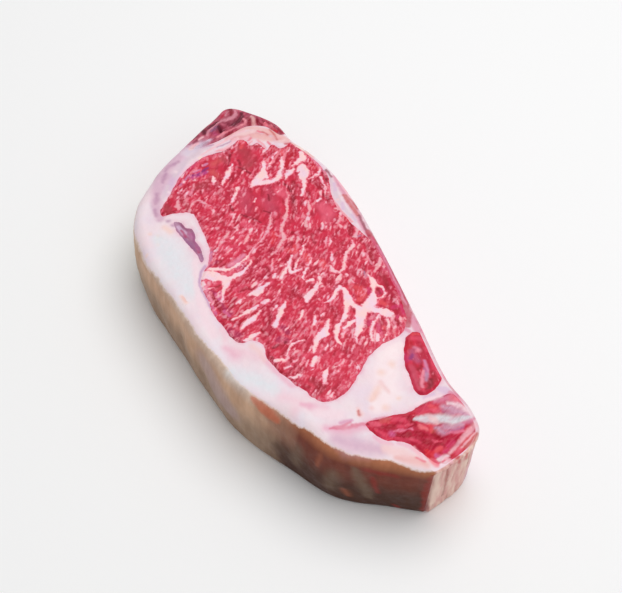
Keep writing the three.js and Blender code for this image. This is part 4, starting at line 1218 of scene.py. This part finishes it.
def near_fat(tissue, plan, angle):
    """How far each point is from veins and streaks, how rich the nearest is, and where none are strewn."""
    plain = np.full(len(plan), float(PLAIN[tissue]))
    distance, rich = np.full(len(plan), 9.0), np.ones(len(plan))
    if tissue == "eye":
        place = wandering(wandering(plan, 0.4, 3.1, 81), 0.2, 1.0, 87)
        for richness, *paths in VEINS:
            for path in paths:
                away_by = beyond(place, laid(path))[0]
                rich = np.where(away_by < distance, richness, rich)
                distance = np.minimum(distance, away_by)
        distance += 0.32 * rough(*plan.T, 2.3, 91) + 0.28 * rough(*plan.T, 1.1, 95) - 0.05
        for across, down, radius in BARE:
            reach = np.linalg.norm(plan - on_face([(across, down)]), axis=1) / (radius * VIEW_STEP)
            plain = np.maximum(plain, 0.9 * (1 - ease(0.6, 1.3, reach)))
    for width, length, least, crowding, feather, richness, seed in STREAKS:
        least = least - crowding * rough(*plan.T, 9, seed) + 2 * plain
        streak = (least - combed(plan, angle, width, length, seed)) * feather
        rich = np.where(streak < distance, richness, rich)
        distance = np.minimum(distance, streak)
    return distance, rich, np.maximum(plain, 1 - ease(0.2, 1.0, distance))


# ---- The pieces ----

def fat_skin(mesh, used, tint):
    """Keeps what the fat's material asks about each point, and gives the marks with the wall's added."""
    points, column, dried = all_points[used], column_of[used], crust[used]
    leaning = along[column] + GROOVE_LEAN * (THICKNESS - points[:, 2])
    brown_here, end_here = np.interp(leaning, along, browned), np.interp(leaning, along, end)
    store(mesh, "blush", 0.65 * np.exp(-from_seam[used] / 1.6))
    store(mesh, "crease", creases(along[column], points[:, 2]))
    store(mesh, "past", past[used])
    store(mesh, "browned", brown_here)
    store(mesh, "end", end_here)
    store(mesh, "depth", depth[used])
    cap_skin = painted(points[:, [0, 2]], WALL_MARKS, np.array)
    end_skin = painted(points[:, [1, 2]], END_MARKS, np.array)
    tint = laid_over(tint, cap_skin, 0.8 * dried * brown_here)
    return laid_over(tint, end_skin, 0.8 * dried * end_here)


def lean_skin(mesh, tissue, plan):
    """Keeps what a muscle's material asks about each point, or what its marbling does."""
    angle = grain_angle(tissue, plan)
    store(mesh, "grain", angle)
    store(mesh, "fibre", combed(plan, angle, *FIBRE))
    store(mesh, "strand", combed(plan, angle, *STRAND))
    if tissue == "eye":
        names = ("vein_distance", "vein_richness", "bare")
    else:
        names = ("fat_distance", "richness")
    for name, values in zip(names, near_fat(tissue, plan, angle)):
        store(mesh, name, values)


def piece(tissue):
    """One tissue as a closed mesh, with what its material asks about each point."""
    used, numbered = np.unique(faces_of[tissue], return_inverse=True)
    points = all_points[used]
    mesh = bpy.data.meshes.new("meat_" + tissue)
    mesh.from_pydata((points * MM).tolist(), [], numbered.reshape(-1, 3).tolist())
    mesh.shade_smooth()
    made = bpy.data.objects.new("meat_" + tissue, mesh)
    bpy.context.scene.collection.objects.link(made)

    tint = painted(points[:, :2], MARKS[tissue])
    tint[:, 3] *= 1 - ease(1.5, 5, depth[used])
    if tissue == "fat":
        tint = fat_skin(mesh, used, tint)
    else:
        lean_skin(mesh, tissue, points[:, :2])
    store(mesh, "tint", tint)
    store(mesh, "top", top[used])
    store(mesh, "settled", settled[used])
    return made


# ---- Nodes ----

class Net:
    """Adds nodes to a tree and joins them up."""

    def __init__(self, tree):
        self.tree = tree

    def feed(self, socket, value):
        """Puts a link or a plain value into a socket."""
        if isinstance(value, bpy.types.NodeSocket):
            self.tree.links.new(value, socket)
        else:
            socket.default_value = value

    def node(self, kind, put=(), **settings):
        """A node with its settings, and with what goes into its sockets by name or number."""
        made = self.tree.nodes.new(kind)
        for name, value in settings.items():
            setattr(made, name, value)
        for key, value in dict(put).items():
            self.feed(made.inputs[key], value)
        return made

    def maths(self, operation, *values):
        """The outcome of a sum of numbers."""
        return self.node("ShaderNodeMath", enumerate(values), operation=operation).outputs[0]

    def times(self, a, b):
        return self.maths("MULTIPLY", a, b)

    def plus(self, a, b):
        return self.maths("ADD", a, b)

    def minus(self, a, b):
        return self.maths("SUBTRACT", a, b)

    def vector(self, operation, *values, scale=None):
        """The outcome of a sum of vectors."""
        put = dict(enumerate(values))
        if scale is not None:
            put["Scale"] = scale
        made = self.node("ShaderNodeVectorMath", put, operation=operation)
        return made.outputs["Value" if operation == "LENGTH" else "Vector"]

    def ramp(self, value, low, high, to_low=0.0, to_high=1.0):
        """A value eased from one range into another."""
        put = {"Value": value, "From Min": low, "From Max": high, "To Min": to_low, "To Max": to_high}
        return self.node("ShaderNodeMapRange", put, interpolation_type="SMOOTHSTEP").outputs["Result"]

    def mix(self, share, a, b, blend="MIX"):
        """Colour b laid over colour a, as far as the share goes."""
        put = {0: share, 6: a, 7: b}
        return self.node("ShaderNodeMix", put, data_type="RGBA", blend_type=blend).outputs[2]

    def noise(self, place, scale=1.0, detail=2.0, roughness=0.5):
        put = {"Vector": place, "Scale": scale, "Detail": detail, "Roughness": roughness}
        return self.node("ShaderNodeTexNoise", put).outputs[0]

    def combine(self, x, y, z=0.0):
        return self.node("ShaderNodeCombineXYZ", enumerate((x, y, z))).outputs[0]

    def parts(self, vector):
        return self.node("ShaderNodeSeparateXYZ", {0: vector}).outputs

    def kept(self, name, output="Fac"):
        """What a piece's mesh keeps under a name, in a material."""
        return self.node("ShaderNodeAttribute", attribute_name=name).outputs[output]

    def named(self, name):
        """The same in geometry nodes."""
        return self.node("GeometryNodeInputNamedAttribute", {"Name": name}, data_type="FLOAT").outputs[0]

    def keeping(self, geometry, **values):
        """Geometry that keeps values under names."""
        for name, value in values.items():
            put = {"Geometry": geometry, "Name": name, "Value": value}
            geometry = self.node("GeometryNodeStoreNamedAttribute", put, data_type="FLOAT",
                                 domain="POINT").outputs[0]
        return geometry

    def group(self, tree, **put):
        """What comes out of a group of shader nodes, given what goes in by name."""
        named = {key.replace("_", " ").capitalize(): value for key, value in put.items()}
        return self.node("ShaderNodeGroup", named, node_tree=tree).outputs


def node_group(name, kind, inputs, outputs):
    """An empty group with sockets that have a name and a number or a kind: its net and its two ends."""
    tree = bpy.data.node_groups.new(name, kind)
    for label, value in inputs.items():
        socket_type = {int: "Int", float: "Float"}.get(type(value), value)
        socket = tree.interface.new_socket(label, in_out="INPUT", socket_type="NodeSocket" + socket_type)
        if socket_type != value:
            socket.default_value = value
    for label, socket_type in outputs.items():
        tree.interface.new_socket(label, in_out="OUTPUT", socket_type="NodeSocket" + socket_type)
    net = Net(tree)
    return net, net.node("NodeGroupInput").outputs, net.node("NodeGroupOutput").inputs


# ---- Marbling: flecks of fat strewn along the grain, and how far every point is from them ----

def fleck_group():
    """Thin lens-shaped flecks strewn over the upper face, laid flat at z = 0."""
    net, given, result = node_group("Strewn flecks", "GeometryNodeTree", {
        "Meat": "Geometry", "Spacing": 0.002, "Half length": 0.001, "Half width": 0.0004,
        "Least richness": 0.2, "Most richness": 1.0, "Turn": FLECK_TURN, "Seed": 1,
    }, {"Flecks": "Geometry"})

    def chance(low, high, seed):
        """A random number for each fleck; the socket names are those of its kind for plain numbers."""
        put = {"Min_001": low, "Max_001": high, "Seed": seed}
        made = net.tree.nodes.new("FunctionNodeRandomValue")
        sockets = {socket.identifier: socket for socket in made.inputs}
        for key, value in put.items():
            net.feed(sockets[key], value)
        return next(s for s in made.outputs if s.identifier == "Value_001")

    strewn = net.node("GeometryNodeDistributePointsOnFaces", {
        "Mesh": given["Meat"], "Selection": net.maths("GREATER_THAN", net.named("top"), 0.9),
        "Distance Min": given["Spacing"], "Density Max": 4e6,
        "Density Factor": net.minus(1.0, net.named("bare")), "Seed": given["Seed"],
    }, distribute_method="POISSON").outputs["Points"]
    length = net.times(given["Half length"], chance(0.3, 1.6, 11))
    width = net.times(given["Half width"], chance(0.4, 1.6, 12))
    richness = chance(given["Least richness"], given["Most richness"], 13)
    strewn = net.keeping(strewn, half_width=width, richness=richness)
    lens = net.node("GeometryNodeMeshCircle", {"Vertices": 10, "Radius": 1.0},
                    fill_type="TRIANGLE_FAN").outputs[0]
    reach = net.vector("LENGTH", net.node("GeometryNodeInputPosition").outputs[0])
    lens = net.keeping(lens, within=net.minus(1.0, reach))
    turn = net.plus(net.named("grain"), net.times(given["Turn"], chance(-1.0, 1.0, 14)))
    placed = net.node("GeometryNodeInstanceOnPoints", {
        "Points": strewn, "Instance": lens, "Rotation": net.combine(0.0, 0.0, turn),
        "Scale": net.combine(length, width, 1.0),
    }).outputs[0]
    flecks = net.node("GeometryNodeRealizeInstances", {"Geometry": placed}).outputs[0]
    flat = net.vector("MULTIPLY", net.node("GeometryNodeInputPosition").outputs[0], (1, 1, 0))
    flecks = net.node("GeometryNodeSetPosition", {"Geometry": flecks, "Position": flat}).outputs[0]
    net.feed(result["Flecks"], flecks)
    return net.tree


def marbling_group(flecks_tree):
    """The whole marbling of one muscle."""
    net, given, result = node_group("Marbling", "GeometryNodeTree", {
        "Meat": "Geometry", "Faint spacing": 0.0024, "Bright spacing": 0.0042, "Fleck size": 1.0,
        "Wander": 0.0007, "Relief": 0.0001, "Seed": 1, "Finish": "Material",
    }, {"Meat": "Geometry"})
    net.tree.is_modifier = True

    def flecks(spacing, length, width, least, most, seed):
        """One lot of flecks over the whole muscle."""
        return net.node("GeometryNodeGroup", {
            "Meat": given["Meat"], "Spacing": spacing,
            "Half length": net.times(given["Fleck size"], length),
            "Half width": net.times(given["Fleck size"], width),
            "Least richness": least, "Most richness": most, "Seed": net.plus(given["Seed"], seed),
        }, node_tree=flecks_tree).outputs[0]

    faint = flecks(given["Faint spacing"], *FAINT_FLECKS, 1.0)
    bright = flecks(given["Bright spacing"], *BRIGHT_FLECKS, 2.0)
    join = net.node("GeometryNodeJoinGeometry")
    for strewn in (faint, bright):
        net.tree.links.new(strewn, join.inputs[0])
    everything = join.outputs[0]

    here = net.node("GeometryNodeInputPosition").outputs[0]
    flat = net.vector("MULTIPLY", here, (1, 1, 0))
    sway = net.node("ShaderNodeTexNoise", {"Vector": flat, "Scale": 420.0, "Detail": 3.0}).outputs[1]
    sway = net.vector("MULTIPLY", net.vector("SUBTRACT", sway, (0.5, 0.5, 0.5)), (1, 1, 0))
    reach = net.times(given["Wander"], 4.0)
    place = net.vector("ADD", flat, net.vector("SCALE", sway, scale=reach))

    distance = net.node("GeometryNodeProximity", {0: everything, "Sample Position": place},
                        target_element="FACES").outputs["Distance"]
    inside_by = net.times(net.named("within"), net.named("half_width"))
    sampled = []
    for value in (inside_by, net.named("richness")):
        put = {"Mesh": everything, "Value": value, "Sample Position": place}
        sampled.append(net.node("GeometryNodeSampleNearestSurface", put, data_type="FLOAT").outputs[0])
    fleck = net.times(net.minus(distance, sampled[0]), 1000.0)
    vein = net.named("vein_distance")
    nearer_vein = net.maths("LESS_THAN", vein, fleck)
    fat_distance = net.maths("MINIMUM", vein, fleck)
    richness = net.plus(net.times(nearer_vein, net.named("vein_richness")),
                        net.times(net.minus(1.0, nearer_vein), sampled[1]))
    meat = net.keeping(given["Meat"], fat_distance=fat_distance, richness=richness)
    raised = net.ramp(fat_distance, 0.35, -0.25, -0.6, 1.0)
    height = net.times(net.times(raised, given["Relief"]), net.named("settled"))
    meat = net.node("GeometryNodeSetPosition", {
        "Geometry": meat, "Offset": net.combine(0.0, 0.0, height),
    }).outputs[0]
    meat = net.node("GeometryNodeRealizeInstances", {"Geometry": meat}).outputs[0]
    meat = net.node("GeometryNodeSetMaterial", {"Geometry": meat, "Material": given["Finish"]}).outputs[0]
    net.feed(result["Meat"], meat)
    return net.tree


marbling = marbling_group(fleck_group())


def marbled(made, finish):
    """The eye muscle with its marbling worked out, as a plain mesh again."""
    modifier = made.modifiers.new("marbling", "NODES")
    modifier.node_group = marbling
    settings = dict(Seed=5, Finish=finish)
    for socket in marbling.interface.items_tree:
        if socket.in_out == "INPUT" and socket.name in settings:
            modifier[socket.identifier] = settings[socket.name]
    made.update_tag()
    bpy.context.view_layer.update()
    result = bpy.data.meshes.new_from_object(made.evaluated_get(bpy.context.evaluated_depsgraph_get()))
    made.modifiers.remove(modifier)
    plain, made.data = made.data, result
    bpy.data.meshes.remove(plain)


# ---- Groups of shader nodes that several materials share ----

def place_in_mm(net):
    """The place on the piece, in millimetres."""
    return net.vector("SCALE", net.node("ShaderNodeTexCoord").outputs["Object"], scale=1000.0)


def blotch_group():
    """Soft blotches of a given size in millimetres, stretched upright on the walls."""
    net, given, result = node_group("Soft blotches", "ShaderNodeTree", {
        "Size": 10.0, "Stretch": 1.0, "Seed": 0.0, "Sharpness": 0.4,
    }, {"Blotch": "Float"})
    elsewhere = net.combine(net.times(given["Seed"], 300.0), 0.0)
    place = net.vector("ADD", place_in_mm(net), elsewhere)
    tall = net.times(given["Size"], given["Stretch"])
    place = net.vector("DIVIDE", place, net.combine(given["Size"], given["Size"], tall))
    value = net.noise(place, 1.0, 2.5, 0.5)
    half = net.times(net.minus(1.0, given["Sharpness"]), 0.5)
    low, high = net.minus(0.5, half), net.plus(0.5, half)
    net.feed(result["Blotch"], net.ramp(value, low, high))
    return net.tree


def marbling_mask_group():
    """Where the marbling's fat shows, from the distance to it, and a rim of painted shade in the meat
    round it.
    """
    net, given, result = node_group("Fat marbling", "ShaderNodeTree", {
        "Distance": 1.0, "Richness": 1.0, "Raggedness": 0.8, "Feather": 0.55,
    }, {"Fat": "Float", "Core": "Float", "Rim": "Float"})
    fine = net.minus(net.noise(place_in_mm(net), 1.3, 3.0, 0.6), 0.5)
    distance = net.plus(given["Distance"], net.times(fine, given["Raggedness"]))
    mask = net.ramp(distance, given["Feather"], net.times(given["Feather"], -0.6))
    net.feed(result["Fat"], net.times(mask, given["Richness"]))
    net.feed(result["Core"], net.times(net.ramp(distance, 0.2, -0.7), given["Richness"]))
    rim = net.ramp(net.maths("ABSOLUTE", net.minus(distance, 0.6)), 0.6, 0.0)
    net.feed(result["Rim"], net.times(rim, given["Richness"]))
    return net.tree


def moist_group():
    """The sheen and fine unevenness of a moist cut."""
    net, given, result = node_group("Moist surface", "ShaderNodeTree", {
        "Fibre": 0.5, "Fat": 0.0, "Dryness": 0.0,
    }, {"Roughness": "Float", "Height": "Float"})
    place = place_in_mm(net)
    roughness = net.ramp(net.noise(place, 0.16, 3.0, 0.6), 0.35, 0.65, 0.34, 0.52)
    dried = net.times(given["Dryness"], 0.25)
    net.feed(result["Roughness"], net.plus(roughness, dried))
    fine = net.noise(place, 1.9, 3.0, 0.6)
    height = net.plus(net.times(given["Fibre"], 0.5), net.times(fine, 0.5))
    net.feed(result["Height"], net.plus(height, net.times(given["Fat"], 0.4)))
    return net.tree


soft_blotches, fat_marbling, moist_surface = blotch_group(), marbling_mask_group(), moist_group()


def material(name):
    """A new material's net and its principled shader's inputs."""
    made = bpy.data.materials.new(name)
    made.use_nodes = True
    net = Net(made.node_tree)
    return made, net, made.node_tree.nodes["Principled BSDF"].inputs


def dressed(net, shader, colour, fibre, fat, dryness=0.0, bump=0.00012, gloss=0.35):
    """Gives a shader its colour, and the sheen and unevenness of a moist cut."""
    moist = net.group(moist_surface, fibre=fibre, fat=fat, dryness=dryness)
    net.feed(shader["Base Color"], colour)
    net.feed(shader["Roughness"], moist["Roughness"])
    made = net.node("ShaderNodeBump", {"Height": moist["Height"], "Distance": bump, "Strength": 0.7})
    net.feed(shader["Normal"], made.outputs[0])
    shader["IOR"].default_value = 1.38
    shader["Specular IOR Level"].default_value = gloss


def tone(name):
    """A paint as a socket's colour."""
    return (*shade(*PAINTS[name]), 1)


def blotched(net, size, seed, stretch=1.0, sharpness=0.4):
    """Soft blotches between 0 and 1."""
    return net.group(soft_blotches, size=size, seed=seed, stretch=stretch, sharpness=sharpness)["Blotch"]


def muscle_material(name, deep, middle, light, hot="lean_hot", blotch=9.0, contrast=0.72):
    """Lean meat: fibres and blotches of red under flecks of fat."""
    made, net, shader = material(name)
    fibre, strand = net.kept("fibre"), net.kept("strand")
    warm = blotched(net, 5.5, 11.0, sharpness=0.6)
    colour = net.mix(net.times(blotched(net, blotch, 3.0), 0.7), tone(middle), tone(deep))
    colour = net.mix(net.times(warm, 0.4), colour, tone(hot))
    colour = net.mix(net.kept("tint", "Alpha"), colour, net.kept("tint", "Color"))
    darker = net.mix(1.0, colour, SHADED_LEAN, "MULTIPLY")
    contrast = net.ramp(net.kept("tint", "Alpha"), 0.0, 0.9, contrast, contrast * 0.45)
    dark = net.times(net.ramp(strand, 0.3, -1.9), contrast)
    colour = net.mix(dark, colour, darker)
    bright = net.times(net.ramp(fibre, 0.1, 2.2, 0.0, 0.6), contrast)
    colour = net.mix(bright, colour, tone(light))
    mask = net.group(fat_marbling, distance=net.kept("fat_distance"), richness=net.kept("richness"))
    # painted shade: the lean darkened in a rim round each fleck and streak of fat
    colour = net.mix(net.times(mask["Rim"], 0.22), colour, darker)
    fat = net.mix(warm, tone("marbling"), tone("warm_marbling"))
    fat = net.mix(mask["Core"], tone("faint_marbling"), fat)
    colour = net.mix(mask["Fat"], colour, fat)
    dressed(net, shader, colour, net.ramp(fibre, -2.0, 2.0), mask["Fat"])
    return made


def cap_colour(net, depth, upright, broad):
    """The dried outside of the cap: tan at the left, dark red-brown at the right; darker lower down,
    partly painted shade.
    """
    x = net.parts(place_in_mm(net))[0]
    right = net.ramp(net.plus(x, net.times(broad, 14.0)), *CAP_REDDENS)
    sides = []
    for side in ("wall_left", "wall_right"):
        # darker lower down the wall: partly the crust's own colour, partly painted shade
        low = net.mix(net.ramp(depth, 8.0, 24.0), tone(side), tone(side + "_low"))
        sides.append(net.mix(net.ramp(depth, 0.5, 6.0), tone(side + "_edge"), low))
    colour = net.mix(right, *sides)
    olive = net.times(net.ramp(x, -40.0, -80.0), net.ramp(broad, 0.2, 0.9, 0.3, 0.9))
    colour = net.mix(olive, colour, tone("wall_olive"))
    darker = net.mix(1.0, colour, SHADED_CAP, "MULTIPLY")
    return net.mix(net.times(upright, 0.6), colour, darker)


def end_colour(net, fine):
    """The end of the tail: pinkish beige, with painted shade in the creases and painted highlights on the
    folds.
    """
    crease = net.kept("crease")
    colour = net.mix(net.times(fine, 0.6), tone("end_beige"), tone("end_pink"))
    # painted shade: darker where the creases sink into the wall
    colour = net.mix(net.ramp(crease, 0.0, 1.3, 0.0, 0.8), colour, tone("end_dark"))
    # painted highlight: paler where the folds stand out
    return net.mix(net.ramp(crease, -0.2, -1.1, 0.0, 0.7), colour, tone("end_cream"))


def fat_material():
    """White fat on the cut face, dried brown outside on the cap, pinkish on the other sides."""
    made, net, shader = material("fat")
    large, middling, small = blotched(net, 16.0, 1.0), blotched(net, 9.0, 2.0), blotched(net, 2.6, 5.0)
    upright, broad = blotched(net, 7.0, 8.0, 3.2), blotched(net, 13.0, 9.0, 2.0)
    fine_upright = blotched(net, 2.0, 6.0, 5.0, 0.6)
    tinted, painted_tone = net.kept("tint", "Alpha"), net.kept("tint", "Color")
    colour = net.mix(large, tone("fat_white"), tone("fat_lavender"))
    colour = net.mix(net.times(middling, 0.5), colour, tone("fat_cream"))
    mottled = net.ramp(small, 0.1, 0.9, 0.55, 1.2)
    colour = net.mix(net.times(net.kept("blush"), mottled), colour, tone("blush"))
    colour = net.mix(tinted, colour, painted_tone)
    colour = net.mix(net.times(small, 0.22), colour, tone("fat_pink"))

    outside = net.mix(large, tone("silverskin"), tone("side_pink"))
    outside = net.mix(net.kept("browned"), outside, cap_colour(net, net.kept("depth"), upright, broad))
    outside = net.mix(net.kept("end"), outside, end_colour(net, fine_upright))
    outside = net.mix(tinted, outside, painted_tone)
    darker = net.mix(1.0, outside, SHADED_END, "MULTIPLY")
    outside = net.mix(net.times(fine_upright, 0.25), outside, darker)
    fine = net.noise(place_in_mm(net), 0.9, 3.0, 0.6)
    fray = net.times(net.minus(fine, 0.5), 1.2)
    crust = net.ramp(net.plus(net.kept("past"), fray), -0.5, 0.6)
    edge = net.times(net.times(crust, net.minus(1.0, crust)), 1.6)
    colour = net.mix(crust, colour, outside)
    colour = net.mix(net.times(edge, net.kept("browned")), colour, tone("edge_cream"))
    dressed(net, shader, colour, small, middling, dryness=net.times(crust, 0.6), bump=0.0002)
    return made


finishes = dict(
    eye=muscle_material("lean", "lean_deep", "lean", "lean_light"),
    side=muscle_material("side_lean", "lean_deep", "lean", "lean_light", blotch=5.0, contrast=0.5),
    tail=muscle_material("tail_lean", "lean_deep", "lean", "lean_light", contrast=0.5),
    tip=muscle_material("dark_lean", "maroon", "dustyred", "dusty_light", "rosered", blotch=5.0),
    sliver=muscle_material("sliver_lean", "maroonmauve", "greymauve", "lavender", "mauve", blotch=4.0,
                           contrast=0.35),
    fat=fat_material(),
)

for tissue, node, slot in (
    ("eye", "eye_muscle", "lean"), ("tail", "tail_muscle", "lean"), ("side", "side_muscle", "lean"),
    ("tip", "tip_muscle", "dark_lean"), ("sliver", "sliver_muscle", "dark_lean"), ("fat", "fat", "fat"),
):
    made = piece(tissue)
    if tissue == "eye":
        marbled(made, finishes[tissue])
    else:
        made.data.materials.append(finishes[tissue])
    made.data.set_sharp_from_angle(angle=math.radians(50))
    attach(made, "root")
    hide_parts(node)


# ---- Floor, light and camera ----

def seen_from(azimuth, elevation, distance):
    """The place in metres at an azimuth and elevation from the target, so many millimetres off."""
    return Vector((np.array(TARGET) + toward(azimuth, elevation) * distance) * MM)


def aim(made, place):
    """Stands a camera or a light at a place, turned to the target."""
    made.location = place
    made.rotation_euler = (Vector(TARGET) * MM - place).to_track_quat("-Z", "Y").to_euler()
    bpy.context.scene.collection.objects.link(made)


lens = bpy.data.cameras.new("camera")
lens.lens, lens.sensor_width, lens.clip_start = LENS, SENSOR, 0.01
camera = bpy.data.objects.new("camera", lens)
aim(camera, seen_from(AZIMUTH, ELEVATION, DISTANCE))
bpy.context.scene.camera = camera


def soft_light(name, azimuth, elevation, distance, size, watts):
    """A round soft box, so many metres wide."""
    light = bpy.data.lights.new(name, "AREA")
    light.shape, light.size, light.energy = "DISK", size, watts
    aim(bpy.data.objects.new(name, light), seen_from(azimuth, elevation, distance))


soft_light("overhead", azimuth=200, elevation=72, distance=1300, size=1.3, watts=9.8)
soft_light("front_fill", azimuth=100, elevation=40, distance=1400, size=1.0, watts=1.5)

world = bpy.data.worlds.new("room")
world.use_nodes = True
background = world.node_tree.nodes["Background"].inputs
background["Color"].default_value = (1, 1, 1, 1)
background["Strength"].default_value = ROOM_LIGHT
bpy.context.scene.world = world
bpy.context.scene.view_settings.view_transform = "Standard"

floor_mesh = bpy.data.meshes.new("floor")
floor_mesh.from_pydata([(-3, -3, 0), (3, -3, 0), (3, 3, 0), (-3, 3, 0)], [], [(0, 1, 2, 3)])
floor = bpy.data.objects.new("floor", floor_mesh)
bpy.context.scene.collection.objects.link(floor)
pale, _, pale_shader = material("pale_floor")
pale_shader["Base Color"].default_value = (0.96, 0.96, 0.96, 1)
pale_shader["Roughness"].default_value = 0.8
floor_mesh.materials.append(pale)
